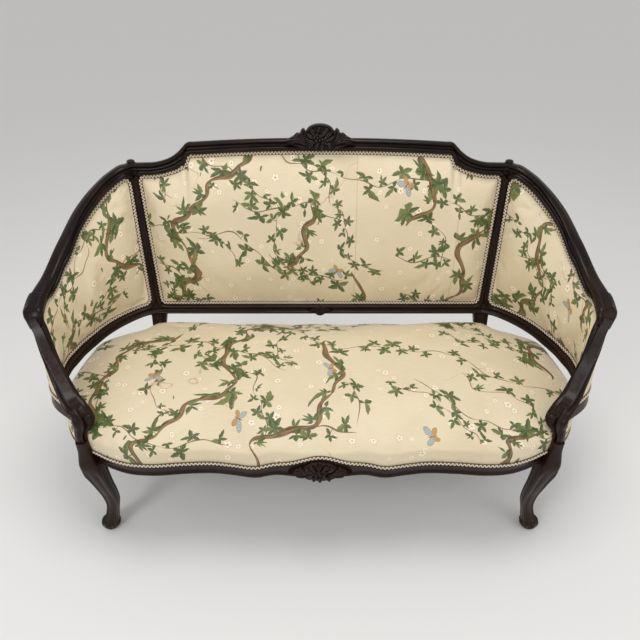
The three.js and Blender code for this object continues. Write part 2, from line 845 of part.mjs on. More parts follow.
const rightOutline = [
  ...frontShares.map(([x, y]) => v3(x * cornerHalf, -y * frontBow, 0)),
  ...sideShares.map(([x, y]) => v3(lerp(cornerHalf, seatHalf, x), y * seatDepth, 0)),
  ...rearShares.map(([x, y]) => v3(lerp(postHalf, seatHalf, x), y * seatDepth, 0)),
];
const leftOutline = rightOutline.slice(1).reverse().map((p) => v3(-p.x, p.y, 0));
const rearOutline = rearLineShares.map((x) => v3(x * postHalf, seatDepth, 0));
const outlinePoints = [...rightOutline, ...rearOutline, ...leftOutline];
const outlineSteps = outlinePoints.length;
const outlineCurve = new THREE.CatmullRomCurve3(outlinePoints, true);
const outline = outlinePoints.map((at, i) => {
  const travel = outlineCurve.getTangent(i / outlineSteps);
  return { at, out: v3(travel.y, -travel.x, 0).normalize() };
});
const outlineAt = (i) => outline[(i + outlineSteps) % outlineSteps];

function outlinePoint(i, inset, z) {
  const { at, out } = outlineAt(i);
  return at.clone().addScaledVector(out, -inset).setZ(z);
}

const carvingRiseShare = 0.46; // how fast the rise dies away, of the carving's span

// How much the show face rises over the carving in the middle of the front.
function faceRise(i) {
  const { at } = outlineAt(i);
  return at.y < 0 ? showFaceRise * Math.exp(-((at.x / (frontCarvingSpan * carvingRiseShare)) ** 2)) : 0;
}

const cornerStep = frontShares.length; // where the side rails start
const rearStep = rightOutline.length; // and where they end

// The seat rail's section: shares of its thickness inwards, and of the show face's height
const seatRailShares = [
  [1, 0],
  [0.12, 0],
  [0, 0.08],
  [0.07, 0.3],
  [0.02, 0.9],
  [0.06, 1],
];

function seatRail(from, to, grow = 0) {
  const rings = [];
  for (let i = from; i <= to; i++) {
    const face = showFaceHeight + faceRise(i);
    const ring = [
      ...seatRailShares.map(([a, b]) => outlinePoint(i, a * seatRailThickness, railBottom + b * face)),
      outlinePoint(i, tackingStep, railBottom + face),
      outlinePoint(i, tackingStep, railTop),
      outlinePoint(i, seatRailThickness, railTop),
    ];
    rings.push(grown(ring, grow));
  }
  return ringBody(rings);
}

// The straight rail across the back, of plain wood and without a show face.
function rearRail(grow = 0) {
  const section = [
    [1, 0],
    [0, 0],
    [0, showFaceHeight / seatRailHeight],
    [tackingStep / seatRailThickness, showFaceHeight / seatRailHeight],
    [tackingStep / seatRailThickness, 1],
    [1, 1],
  ];
  const ring = (x) =>
    section.map(([a, b]) => v3(x, seatDepth - a * seatRailThickness, railBottom + b * seatRailHeight));
  return ringBody([ring(-postHalf), ring(postHalf)].map((points) => grown(points, grow)));
}

const seatMiddle = v3(0, seatDepth * 0.47, 0);

// A ring over the seat's plan: share of the way out from the middle, inset from the outline, and height.
function planRing(share, inset, heightAt) {
  return outline.map((_, i) => {
    const z = typeof heightAt === "function" ? heightAt(i) : heightAt;
    return outlinePoint(i, inset, 0).sub(seatMiddle).multiplyScalar(share).add(seatMiddle).setZ(z);
  });
}

// The seat's top: share of the way out, and share of the rise from the roll to the crown
const seatCrownShares = [
  [0.05, 1],
  [0.5, 0.82],
  [0.83, 0.32],
];
const rollInset = 6 * tackingStep; // where the seat starts to roll over its edge
const sideInset = 1.5 * tackingStep;
const sideRiseShare = 0.62;
const coverInset = tackingStep - seam - clothThickness;
const coverFoot = (i) => railBottom + showFaceHeight + faceRise(i) + seam;

// The seat cover's face, or one under it by a depth.
function seatFace(depth) {
  const inset = coverInset + depth;
  const crownRing = ([share, rise]) => planRing(share, inset, lerp(seatRoll, seatCrown, rise) - depth);
  return [
    ...seatCrownShares.map(crownRing),
    planRing(1, inset + rollInset, seatRoll - depth),
    planRing(1, inset + sideInset, lerp(railTop, seatRoll, sideRiseShare) - depth / 2),
    planRing(1, inset, railTop + clothThickness),
  ];
}

const postsGrown = [frontLeg(fitSeam), armPost(fitSeam), rearPost(fitSeam)].flatMap(both);

function seatCover() {
  const outer = [...seatFace(0), planRing(1, coverInset, coverFoot)];
  const inner = [...seatFace(clothThickness), planRing(1, coverInset + clothThickness, coverFoot)];
  return cut(ringBody([...outer, ...inner.reverse()], (ring) => ring >= outer.length), ...postsGrown);
}

const hessianInset = tackingStep + clothThickness;
const domeShares = [
  [0.05, 1],
  [1, 0],
];
const domeRings = (z) => domeShares.map(
  ([share, rise]) => planRing(share, hessianInset, z + rise * springDome),
);

function seatHessian() {
  const low = domeRings(railTop + seam);
  const high = domeRings(railTop + seam + hessianThickness);
  return cut(ringBody([...low, ...high.reverse()], (ring) => ring >= low.length), ...postsGrown);
}

function seatStuffing() {
  const low = domeRings(railTop + 2 * seam + hessianThickness);
  const high = seatFace(clothThickness + seam).slice(0, -1);
  return cut(ringBody([...low, ...high.reverse()], (ring) => ring >= low.length), ...postsGrown);
}

const flatPlan = (inset, low, high) => ringBody([planRing(1, inset, low), planRing(1, inset, high)]);

const webbingHigh = railBottom - seam;
const webbingLow = webbingHigh - webbingThickness;
const crossStraps = 5;
const longStraps = 3;
const strapDepth = (i) => (seatDepth - frontBow) / 2 + (i - (longStraps - 1) / 2) * webbingPitch;
const strapX = (i) => (i - (crossStraps - 1) / 2) * springPitch;

function seatWebbing() {
  const z = (webbingLow + webbingHigh) / 2;
  const straps = [];
  for (let i = 0; i < crossStraps; i++) {
    straps.push(box(webbingWidth, 2 * seatDepth, webbingThickness, v3(strapX(i), seatDepth / 2, z)));
  }
  for (let i = 0; i < longStraps; i++) {
    straps.push(box(seatSpan, webbingWidth, webbingThickness, v3(0, strapDepth(i), z)));
  }
  const inside = flatPlan(seatRailThickness / 3, webbingLow - seam, webbingHigh + seam);
  return cut(common(join(...straps), inside), ...postsGrown);
}

function dustCover() {
  const high = webbingLow - seam;
  return cut(flatPlan(seatRailThickness / 5, high - cambricThickness, high), ...postsGrown);
}

const springTurns = 2;
const stepsPerTurn = 5;
const wireSides = 3;

function wire(points) {
  const section = Array.from({ length: wireSides }, (_, k) => {
    const angle = (k / wireSides) * 2 * Math.PI;
    return [(springWire / 2) * Math.cos(angle), (springWire / 2) * Math.sin(angle)];
  });
  return bar(new THREE.CatmullRomCurve3(points), v3(0, 0, 1), () => section, points.length - 1);
}

// A row of coil springs stood on the webbing, tied together over their tops by a lashing cord.
function springRow(depth) {
  const foot = webbingHigh + seam + springWire / 4;
  const steps = springTurns * stepsPerTurn;
  const coils = [];
  const cord = [];
  for (let i = 0; i < crossStraps; i++) {
    const x = strapX(i);
    const out = Math.max(Math.abs(x) / seatHalf, Math.abs(depth - seatMiddle.y) / (seatDepth / 2));
    const top = railTop - springWire / 2 + springDome * Math.max(0, 0.85 - out);
    const points = [];
    for (let k = 0; k <= steps; k++) {
      const angle = (k / stepsPerTurn) * 2 * Math.PI;
      const radius = lerp(springWaist, springRadius, (2 * (k / steps) - 1) ** 2);
      const z = lerp(foot, top, k / steps);
      points.push(v3(x + radius * Math.cos(angle), depth + radius * Math.sin(angle), z));
    }
    coils.push(wire(points));
    cord.push(points[steps]);
  }
  return join(...coils, wire(cord));
}

// The seat's gimp between two steps of the outline.
function seatGimp(from, to) {
  const near = coverInset - seam;
  const far = near - gimpThickness;
  const rings = [];
  for (let i = from; i <= to; i++) {
    const low = coverFoot(i);
    rings.push([
      outlinePoint(i, near, low),
      outlinePoint(i, far, low),
      outlinePoint(i, far, low + gimpWidth),
      outlinePoint(i, near, low + gimpWidth),
    ]);
  }
  return cut(ringBody(rings), ...postsGrown);
}

// A block in a corner of the seat frame, glued against the inside of both rails.
function cornerPiece(x, y) {
  const z = railBottom + seatRailHeight / 2;
  const square = box(cornerBlock, cornerBlock, cornerBlockHeight, v3(x, y, z), v3(1, 1, 0));
  const inside = flatPlan(seatRailThickness + seam, railBottom, railTop);
  return cut(common(square, inside), frontLeg(fitSeam), rearPost(fitSeam), rearRail(fitSeam));
}

// A carved spray: a domed flower with a leaf to each side, as a relief with a stepped outline. Right half
// of the outline from the top down: shares of half the span, and of the rise over its middle or the fall
const sprayOutlineShares = [
  [0, 1],
  [0.15, 0.96],
  [0.28, 0.85],
  [0.38, 0.66],
  [0.43, 0.47],
  [0.53, 0.5],
  [0.6, 0.36],
  [0.76, 0.2],
  [1, 0],
  [0.84, -0.24],
  [0.58, -0.42],
  [0.36, -0.78],
  [0.16, -0.92],
  [0, -1],
];
const sprayShares = [
  [1, -0.55],
  [1, 0.3],
  [0.8, 0.72],
  [0.36, 1],
]; // share of the outline, and share of the carving's depth

function spray(span, rise, fall) {
  const otherHalf = sprayOutlineShares.slice(1, -1).reverse().map(([x, z]) => [-x, z]);
  const ring = (share, proud) =>
    [...sprayOutlineShares, ...otherHalf].map(([x, z]) => {
      const height = z * (z > 0 ? rise : fall);
      return v3((share * x * span) / 2, -proud * carvingDepth, share * height);
    });
  return ringBody(sprayShares.map(([share, proud]) => ring(share, proud)));
}

// The joints of the right side: where each tenon enters its post, which way, and how tall it is
const railMiddle = railBottom + seatRailHeight / 2;
const legJointHeight = railBottom + 0.75 * seatTenonHeight; // where the leg is still a full block
const frontJoint = {
  at: v3(cornerHalf - legBlock / 2, seatRailThickness * 0.27, legJointHeight),
  into: v3(1, 0, 0),
  height: seatTenonHeight,
};
const sideFrontJoint = {
  at: v3(cornerHalf + legBlock / 8, legBlock / 2, legJointHeight),
  into: v3(0, -1, 0),
  height: seatTenonHeight,
};
const sideRearJoint = {
  at: v3(
    postHalf + legPostWidth * 0.45,
    rearPostDepth - legPostWidth * 0.28,
    railMiddle + seatTenonHeight / 4,
  ),
  into: v3(-1, 0.8, 0),
  height: seatTenonHeight / 2,
};
const rearJoint = {
  at: v3(postHalf - legPostWidth / 2, rearPostDepth, railMiddle - seatTenonHeight / 2),
  into: v3(1, 0, 0),
  height: seatTenonHeight / 2,
};
function backJoint(edge) {
  const u = 1 - acrossShare(centreBack, 1, edge, stileWidth / 2);
  const share = upShare(centreBack, 1, edge, backRailWidth / 2);
  const at = surfacePoint(centreBack, u, edge ? 1 - share : share);
  return { at, into: v3(1, 0, 0), height: backTenonHeight };
}
const stubCentre = armCurve.getPoint(0).add(v3(0, -armPostDepth / 12, 0)).setZ(railTop);
const stub = (grow) => {
  const side = stubTenon + 2 * grow;
  return box(side, side, 2 * (tenonLength + grow), stubCentre);
};

const settee = new THREE.Group();
const parts = new THREE.Group();
settee.add(parts);
function add(name, geometry, finish) {
  const mesh = new THREE.Mesh(geometry, finish);
  mesh.name = name;
  parts.add(mesh);
}
function addPair(name, geometry, finish) {
  add(name + "_right", geometry, finish);
  add(name + "_left", mirrored(geometry), finish);
}

// The seat frame
const mortises = [rearJoint, sideRearJoint, backJoint(1), backJoint(0)].map(mortise);
addPair("rear_post", cut(rearPost(), ...mortises), walnut);
addPair("front_leg", cut(frontLeg(), mortise(frontJoint), mortise(sideFrontJoint), stub(seam)), walnut);
const beyond = (x, y) => box(seatSpan, 2 * seatSpan, seatSpan, v3(x, y, railBottom));
const pastCorner = beyond(cornerHalf + seatSpan / 2, 0);
const frontRail = cut(seatRail(-cornerStep, cornerStep), ...both(frontLeg(fitSeam)), ...both(pastCorner));
add("front_seat_rail", join(frontRail, ...both(tenon(frontJoint))), walnut);
const outsideSide = [beyond(cornerHalf, -seatSpan), beyond(postHalf - seatSpan / 2, 0)];
const sideRailFit = [frontLeg(fitSeam), rearPost(fitSeam), seatRail(-cornerStep, cornerStep, fitSeam)];
const sideRail = cut(seatRail(cornerStep - 1, rearStep), ...sideRailFit, ...outsideSide);
addPair("side_seat_rail", join(sideRail, tenon(sideFrontJoint), tenon(sideRearJoint)), walnut);
add("rear_seat_rail", join(cut(rearRail(), ...both(rearPost(fitSeam))), ...both(tenon(rearJoint))), beech);
addPair("front_corner_block", cornerPiece(cornerHalf, 0), beech);
addPair("rear_corner_block", cornerPiece(postHalf, rearPostDepth), beech);

// The frame of the back and wings
const rearPosts = both(rearPost(fitSeam));
const crestTimber = cut(timber(crestRings(), railFront), ...rearPosts);
add("crest_rail", join(crestTimber, ...both(tenon(backJoint(1)))), walnut);
add("lower_back_rail", join(cut(lowerRail(), ...rearPosts), ...both(tenon(backJoint(0)))), walnut);
addPair("wing_top_rail", cut(wingTopRail(), rearPost(fitSeam)), walnut);
addPair("wing_lower_rail", cut(wingLowerRail(), rearPost(fitSeam), armPost(fitSeam)), walnut);
const underRail = box(seatSpan, seatSpan, 2 * tenonLength, v3(cornerHalf, 0, railTop + seam - tenonLength));
addPair("arm_post", join(cut(armPost(), wingTopRail(fitSeam), underRail), stub(0)), walnut);

// Each carving is fitted over the timber behind it.
const crestCarving = spray(crestCarvingSpan, crestCarvingRise, crestCarvingFall);
crestCarving.translate(0, crestDepth - backRailThickness / 2, crestHeight);
add("crest_carving", cut(crestCarving, timber(crestRings(fitSeam), railFront)), walnut);
const frontCarving = spray(frontCarvingSpan, frontCarvingRise, frontCarvingFall);
frontCarving.translate(0, -frontBow * frontShares[0][1], railBottom + (showFaceHeight + showFaceRise) / 2);
const behindCarving = flatPlan(-fitSeam, 0, railTop);
add("front_rail_carving", cut(frontCarving, behindCarving), walnut);

// The seat's upholstery, from the webbing up
add("dust_cover", dustCover(), blackCambric);
add("seat_webbing", seatWebbing(), hessian);
for (let i = 0; i < longStraps; i++) add("spring_row_" + (i + 1), springRow(strapDepth(i)), springSteel);
add("seat_hessian", seatHessian(), hessian);
add("seat_stuffing", seatStuffing(), horsehair);
add("seat_cover", seatCover(), printedCotton);
add("seat_gimp_front", cut(seatGimp(-cornerStep, cornerStep), ...both(pastCorner)), gimpBraid);
addPair("seat_gimp_side", cut(seatGimp(cornerStep, rearStep - 1), ...outsideSide), gimpBraid);

// The panels of the back and wings, from the outside in
const layers = {
  outside_gimp: [outsideGimp, gimpBraid],
  outside_cover: [outsideCover, printedCotton],
  hessian: [panelHessian, hessian],
  pad: [panelPad, horsehair],
  inside_cover: [insideCover, printedCotton],
  inside_gimp: [insideGimp, gimpBraid],
};
const wingTimber = [rearPost(seam), armPost(seam), wingTopRail(seam), wingLowerRail(seam)];
for (const [name, [layer, finish]] of Object.entries(layers)) {
  add("back_" + name, layer(centrePanel), finish);
  addPair("wing_" + name, cut(layer(wingPanel), ...wingTimber), finish);
}

const bounds = new THREE.Box3().setFromObject(parts);
parts.position.sub(bounds.getCenter(v3(0, 0, 0)).setZ(bounds.min.z));

export default settee;
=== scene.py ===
import json
import math
import bpy
import numpy as np
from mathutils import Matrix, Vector

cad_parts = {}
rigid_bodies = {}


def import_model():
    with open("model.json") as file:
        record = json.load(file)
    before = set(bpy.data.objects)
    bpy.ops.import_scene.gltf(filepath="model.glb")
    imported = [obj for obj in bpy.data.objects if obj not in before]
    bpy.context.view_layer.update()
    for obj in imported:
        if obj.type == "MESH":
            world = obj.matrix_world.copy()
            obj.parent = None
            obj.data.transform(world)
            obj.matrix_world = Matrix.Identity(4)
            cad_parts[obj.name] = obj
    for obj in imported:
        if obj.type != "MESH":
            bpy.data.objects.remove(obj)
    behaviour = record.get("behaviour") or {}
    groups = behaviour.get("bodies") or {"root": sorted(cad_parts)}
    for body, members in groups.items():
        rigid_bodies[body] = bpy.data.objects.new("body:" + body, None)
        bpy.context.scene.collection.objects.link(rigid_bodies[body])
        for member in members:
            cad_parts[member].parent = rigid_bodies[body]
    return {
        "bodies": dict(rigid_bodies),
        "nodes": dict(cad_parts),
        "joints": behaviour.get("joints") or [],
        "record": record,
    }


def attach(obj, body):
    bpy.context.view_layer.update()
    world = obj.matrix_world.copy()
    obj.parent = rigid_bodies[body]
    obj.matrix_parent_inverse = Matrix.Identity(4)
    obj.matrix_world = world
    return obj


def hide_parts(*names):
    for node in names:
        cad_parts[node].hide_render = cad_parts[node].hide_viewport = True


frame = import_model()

# A carved show-wood settee: a serpentine seat on cabriole legs, a back that wraps round into
# wings, and tight printed upholstery edged with braided gimp. It faces -Y.
# Shapes are worked out in millimetres, with depths measured back from the front legs' centres.
scene = bpy.context.scene
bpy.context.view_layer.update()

# ---- the camera, at the photograph's angle
view = {"place": (0, -1.1568, 1.32), "tilt": 56.2, "lens": 28.125, "sensor": 36}
cameraData = bpy.data.cameras.new("settee_camera")
cameraData.lens = view["lens"]
cameraData.sensor_width = view["sensor"]
camera = bpy.data.objects.new("settee_camera", cameraData)
camera.location = view["place"]
camera.rotation_euler = (math.radians(view["tilt"]), 0, 0)
scene.collection.objects.link(camera)
scene.camera = camera

# ---- sizes shared with the frame
toModel = np.array([0, -276.772, 0])  # from the front legs' centres to the part's own origin
cornerHalf, seatHalf, wingFootHalf, elbowHalf = 600, 712, 713, 717
earHalf, postHalf = 553, 534
elbowDepth, earDepth, crestDepth, postDepth, seatDepth, frontBow = 171, 590, 606, 515, 510, 54
crestHeight, earHeight, elbowHeight, lowerRailHeight = 955, 889, 652, 415
railBottom, railTop, seatRoll = 285, 365, 394
railWidth, strip, stileHalf = 45, 12, 25
armPostWidth, armPostDepth, legPostWidth, legBlock = 37, 43, 40, 48
coverFront, coverOutside, gimpWidth = 5.5, -15.5, 11


def mix(a, b, t):
    return a + (b - a) * t


def smooth(low, high, x):
    t = np.clip((x - low) / (high - low), 0, 1)
    return t * t * (3 - 2 * t)


def unit(v):
    return v / np.maximum(np.linalg.norm(v, axis=-1, keepdims=True), 1e-9)


def curveThrough(points, closed=False):
    # A smooth curve through points: between two of them a cubic whose end slopes come from the square
    # roots of the gaps beside it. The answer takes whole arrays of t, 0 to 1, with equal steps per gap.
    p = np.asarray(points, float)
    if closed:
        padded, spans = np.vstack([p[-1:], p, p[:2]]), len(p)
    else:
        padded, spans = np.vstack([2 * p[:1] - p[1:2], p, 2 * p[-1:] - p[-2:-1]]), len(p) - 1
    gap = np.sqrt(np.maximum(np.linalg.norm(np.diff(padded, axis=0), axis=1), 1e-9))

    def at(t):
        place = np.asarray(t, float) * spans
        place = np.mod(place, spans) if closed else np.clip(place, 0, spans)
        i = np.minimum(place.astype(int), spans - 1)
        w = (place - i)[..., None]
        a, b, c, d = (padded[i + k] for k in range(4))
        g, h, k = (gap[i + j][..., None] for j in range(3))
        leave = ((b - a) / g - (c - a) / (g + h) + (c - b) / h) * h
        arrive = ((c - b) / h - (d - b) / (h + k) + (d - c) / k) * h
        bend, twist = 3 * (c - b) - 2 * leave - arrive, 2 * (b - c) + leave + arrive
        return b + leave * w + bend * w**2 + twist * w**3

    return at


def walk(points):
    # The length walked along a line up to each of its points.
    return np.concatenate([[0], np.cumsum(np.linalg.norm(np.diff(points, axis=0), axis=1))])


def evenly(curve, steps=3000):
    # The same curve with equal lengths per step of its parameter.
    t = np.linspace(0, 1, steps)
    walked = walk(curve(t))

    def at(s):
        return curve(np.interp(np.asarray(s, float) * walked[-1], walked, t))

    at.length = walked[-1]
    return at


# ---- the lines that the frame is drawn from, as shares of its sizes
crestShares = np.array([
    [0, 1, 1], [0.14, 1, 1], [0.28, 0.98, 0.985], [0.42, 0.95, 0.95], [0.56, 0.92, 0.9], [0.655, 0.88, 0.855],
    [0.693, 0.86, 0.83], [0.732, 0.65, 0.54], [0.776, 0.43, 0.28], [0.82, 0.29, 0.125], [0.88, 0.21, 0.015],
    [0.94, 0.14, 0], [1, 0, 0]])
wingTopShares = np.array([
    [0, 0, 0], [0.147, 0.077, 0.004], [0.362, 0.147, 0.084], [0.57, 0.225, 0.21], [0.785, 0.35, 0.4],
    [0.945, 0.5, 0.64], [1.045, 0.715, 0.88], [1.05, 0.87, 0.945], [1, 1, 1]])
wingFootShares = np.array([
    [0, 1], [0.23, 0.97], [0.53, 0.864], [0.737, 0.746], [0.855, 0.63], [0.933, 0.538], [0.966, 0.464],
    [0.995, 0.377], [0.927, 0.243], [0.75, 0.132]])
armShares = np.array([
    [0.01, 0.01, 0], [0, 0.02, 0.07], [-0.03, 0.065, 0.14], [-0.03, 0.115, 0.22], [0.06, 0.18, 0.28],
    [0.25, 0.3, 0.352], [0.43, 0.45, 0.443], [0.57, 0.58, 0.554], [0.7, 0.7, 0.68], [0.86, 0.87, 0.82],
    [0.965, 0.96, 0.916], [1, 1, 1]])

mirror = np.array([-1, 1, 1])
halfCrest = np.stack([
    crestShares[:, 0] * earHalf, mix(earDepth, crestDepth, crestShares[:, 1]),
    mix(earHeight, crestHeight, crestShares[:, 2])], -1)
crestLine = curveThrough(np.vstack([halfCrest[:0:-1] * mirror, halfCrest]))
wingTopLine = evenly(curveThrough(np.stack([
    mix(earHalf, elbowHalf, wingTopShares[:, 0]), mix(earDepth, elbowDepth, wingTopShares[:, 1]),
    mix(earHeight, elbowHeight, wingTopShares[:, 2])], -1)))
armLine = curveThrough(np.stack([
    mix(cornerHalf, elbowHalf, armShares[:, 0]), elbowDepth * armShares[:, 1],
    mix(railTop, elbowHeight, armShares[:, 2])], -1))
armSamples = armLine(np.linspace(0, 1, 3000))


def armAt(height):
    # The arm post's middle line at a height.
    return np.stack([np.interp(height, armSamples[:, 2], armSamples[:, k]) for k in range(3)], -1)


wingFootPoints = np.stack([
    mix(postHalf, wingFootHalf, wingFootShares[:, 0]), postDepth * wingFootShares[:, 1],
    np.full(len(wingFootShares), lowerRailHeight)], -1)
wingFootLine = evenly(curveThrough(np.vstack([wingFootPoints, armAt(lowerRailHeight)])))


def backFace(u, h):
    # Ruled between the lower rail and the crest: u from -1 at the left ear to 1, h from 0 to 1 upwards.
    upper = crestLine((u + 1) / 2)
    depth, height = np.full(u.shape, postDepth), np.full(u.shape, lowerRailHeight)
    lower = np.stack([upper[..., 0] / earHalf * postHalf, depth, height], -1)
    return mix(lower, upper, h[..., None])


def wingFace(u, h):
    # Ruled like the back, from u = 0 at the ear to 1 at the elbow, where it bends to follow the arm post.
    end = mix(wingFootLine(1.0), wingTopLine(1.0), h[..., None])
    bend = (armAt(end[..., 2]) - end) * (u**3)[..., None]
    return mix(wingFootLine(u), wingTopLine(u), h[..., None]) + bend


faceStart = {backFace: -1, wingFace: 0}
tiny = 1e-3
single = np.ones(1)  # a lone u or h for the functions below


def acrossSlope(face, u, h):
    low, high = np.maximum(u - tiny, faceStart[face]), np.minimum(u + tiny, 1)
    return (face(high, h) - face(low, h)) / (high - low)[..., None]


def upSlope(face, u, h):
    low, high = np.maximum(h - tiny, 0), np.minimum(h + tiny, 1)
    return (face(u, high) - face(u, low)) / (high - low)[..., None]


def faceNormal(face, u, h):
    return unit(np.cross(acrossSlope(face, u, h), upSlope(face, u, h)))


def upShare(face, u, edge, width):
    # How much of h a width square to the rail takes.
    h = np.full(u.shape, float(edge))
    across = unit(acrossSlope(face, u, h))
    return width / np.linalg.norm(np.cross(across, upSlope(face, u, h)), axis=-1)


def acrossShare(face, u, h, width):
    return width / np.linalg.norm(acrossSlope(face, u, h), axis=-1)


def layer(face, u, h, proud):
    # A point that stands proud of a face by a height, along its normal towards the sitter.
    u, h, proud = np.broadcast_arrays(u, h, proud)
    return face(u, h) + faceNormal(face, u, h) * proud[..., None]


# ---- meshes
def gridFaces(rows, columns, closeRows=False, closeColumns=False, offset=0):
    # The quads between neighbouring points of a grid.
    a = np.arange(rows if closeRows else rows - 1)
    b = np.arange(columns if closeColumns else columns - 1)
    r, c = np.meshgrid(a, b, indexing="ij")
    r2, c2 = (r + 1) % rows, (c + 1) % columns
    quads = np.stack([r * columns + c, r * columns + c2, r2 * columns + c2, r2 * columns + c], -1)
    return quads.reshape(-1, 4) + offset


def volumeOf(points, faces):
    a, b, c = (points[faces[:, k]] for k in (0, 1, 2))
    d = points[faces[:, -1]]
    return np.sum(a * np.cross(b, c)) + (np.sum(a * np.cross(c, d)) if faces.shape[1] == 4 else 0)


def sweep(rings, closeAlong=False):
    # A closed body through rings of points, rows along it: both ends close on the middle of their ring.
    rows, columns = rings.shape[:2]
    points = rings.reshape(-1, 3)
    quads = gridFaces(rows, columns, closeAlong, True)
    if closeAlong:
        tris = np.zeros((0, 3), int)
    else:
        points = np.vstack([points, rings[0].mean(0), rings[-1].mean(0)])
        i = np.arange(columns)
        j = (i + 1) % columns
        cap, lastRow = np.full(columns, rows * columns), (rows - 1) * columns
        tris = np.vstack([
            np.stack([cap, j, i], -1), np.stack([cap + 1, lastRow + i, lastRow + j], -1)])
    volume = volumeOf(points, quads) + (volumeOf(points, tris) if len(tris) else 0)
    if volume < 0:
        quads, tris = quads[:, ::-1], tris[:, ::-1]
    return {"points": points, "quads": quads, "tris": tris}


def gather(shells):
    # Several shells as one, with their numbers carried along.
    out = {"points": [], "quads": [], "tris": []}
    extra = set(shells[0]) - set(out)
    start = 0
    for shell in shells:
        out["points"].append(shell["points"])
        out["quads"].append(shell["quads"] + start)
        out["tris"].append(shell["tris"] + start)
        start += len(shell["points"])
    whole = {key: np.vstack(value) for key, value in out.items()}
    for key in extra:
        whole[key] = np.concatenate([shell[key] for shell in shells])
    return whole


def reflected(shell):
    # The same shell on the other side, with its faces turned back outwards.
    return {**shell, "points": shell["points"] * mirror,
            "quads": shell["quads"][:, ::-1], "tris": shell["tris"][:, ::-1]}


def asDrawn(shell):
    return shell


# Each side's ending of names, its sign, and how a shell drawn for the right-hand side is turned for it.
sides = (("_right", 1, asDrawn), ("_left", -1, reflected))


def standOutOf(points, quads, tris):
    # How far each point stands out from its neighbours along its normal, as a share of its edges' length.
    edges = np.vstack([np.stack([f[:, i], f[:, (i + 1) % f.shape[1]]], -1)
                       for f in (quads, tris) for i in range(f.shape[1])])
    total, count = np.zeros_like(points), np.zeros(len(points))
    for a, b in ((0, 1), (1, 0)):
        np.add.at(total, edges[:, a], points[edges[:, b]])
        np.add.at(count, edges[:, a], 1)
    normal = np.zeros_like(points)
    for f in (quads, tris):
        turn = np.cross(points[f[:, 1]] - points[f[:, 0]], points[f[:, -1]] - points[f[:, 0]])
        for k in range(f.shape[1]):
            np.add.at(normal, f[:, k], turn)
    lift = points - total / np.maximum(count, 1)[:, None]
    size, number = np.zeros(len(points)), np.zeros(len(points))
    np.add.at(size, edges[:, 0], np.linalg.norm(points[edges[:, 0]] - points[edges[:, 1]], axis=1))
    np.add.at(number, edges[:, 0], 1)
    size = size / np.maximum(number, 1)
    return np.sum(lift * unit(normal), -1) / np.maximum(size, 1e-6)


def makePiece(name, shell, material, nodes=(), sharp=None):
    # Puts a shell into a mesh whose object stays at the origin, fixes it to the frame's root body, and hides
    # the frame's parts that it stands in for.
    points = (shell["points"] + toModel) * 0.001
    quads, tris = shell["quads"], shell["tris"]
    loops = np.concatenate([quads.ravel(), tris.ravel()]).astype(np.int32)
    starts = np.concatenate([np.arange(len(quads)) * 4, len(quads) * 4 + np.arange(len(tris)) * 3])
    mesh = bpy.data.meshes.new(name)
    mesh.vertices.add(len(points))
    mesh.vertices.foreach_set("co", points.astype(np.float32).ravel())
    mesh.loops.add(len(loops))
    mesh.loops.foreach_set("vertex_index", loops)
    mesh.polygons.add(len(starts))
    mesh.polygons.foreach_set("loop_start", starts.astype(np.int32))
    mesh.update(calc_edges=True)
    if "uv" in shell:
        layerUv = mesh.uv_layers.new(name="cloth")
        layerUv.data.foreach_set("uv", shell["uv"][loops].astype(np.float32).ravel())
    for key in shell:
        if key not in ("points", "quads", "tris", "uv"):
            values = mesh.attributes.new(key, "FLOAT", "POINT").data
            values.foreach_set("value", shell[key].astype(np.float32))
    mesh.polygons.foreach_set("use_smooth", np.ones(len(starts), bool))
    if sharp:
        mesh.set_sharp_from_angle(angle=math.radians(sharp))
    mesh.materials.append(material)
    piece = bpy.data.objects.new(name, mesh)
    scene.collection.objects.link(piece)
    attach(piece, "root")
    if nodes:
        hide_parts(*nodes)
    return piece


def makeWood(name, shells, nodes=(), sharp=40, wornAndLit=1.0):
    shell = gather(shells)
    # How far each point stands out drives painted light in the finish: painted shade in hollows, and edges
    # lighter, partly real wear and partly a painted highlight.
    shell["wearAndPaintedLight"] = standOutOf(shell["points"], shell["quads"], shell["tris"]) * wornAndLit
    return makePiece(name, shell, darkWood, nodes, sharp)


def makePair(name, shells, nodes):
    # A right-hand piece of wood and its reflection.
    for side, sign, turn in sides:
        makeWood(name + side, [turn(shell) for shell in shells], [node + side for node in nodes])


# ---- finishes
def makeNode(tree, kind, inputs, **settings):
    # A shader node with its settings. Each input is linked to its value, or given its number or colour.
    node = tree.nodes.new("ShaderNode" + kind)
    for key, value in settings.items():
        setattr(node, key, value)
    for key, value in inputs.items():
        value = value.socket if isinstance(value, Field) else value
        if isinstance(value, bpy.types.NodeSocket):
            tree.links.new(value, node.inputs[key])
        else:
            node.inputs[key].default_value = value
    return node


class Field:
    # A shader value that can be added and multiplied like a number.
    def __init__(self, tree, socket):
        self.tree, self.socket = tree, socket

    def op(self, kind, *others):
        node = makeNode(self.tree, "Math", dict(enumerate((self, *others))), operation=kind)
        return Field(self.tree, node.outputs[0])

    def __add__(self, other):
        return self.op("ADD", other)

    def __sub__(self, other):
        return self.op("SUBTRACT", other)

    def __rsub__(self, other):
        return self.op("MULTIPLY", -1.0).op("ADD", other)

    def __mul__(self, other):
        return self.op("MULTIPLY", other)

    __radd__, __rmul__ = __add__, __mul__

    def __truediv__(self, other):
        return self.op("DIVIDE", other)

    def between(self, low, high):
        # 0 under low and 1 over high, or the other way round where low is the larger, with a soft step.
        node = makeNode(self.tree, "MapRange", {0: self, 1: low, 2: high}, interpolation_type="SMOOTHSTEP")
        return Field(self.tree, node.outputs[0])


def sine(x):
    return x.op("SINE")


def cosine(x):
    return x.op("COSINE")


def absolute(x):
    return x.op("ABSOLUTE")


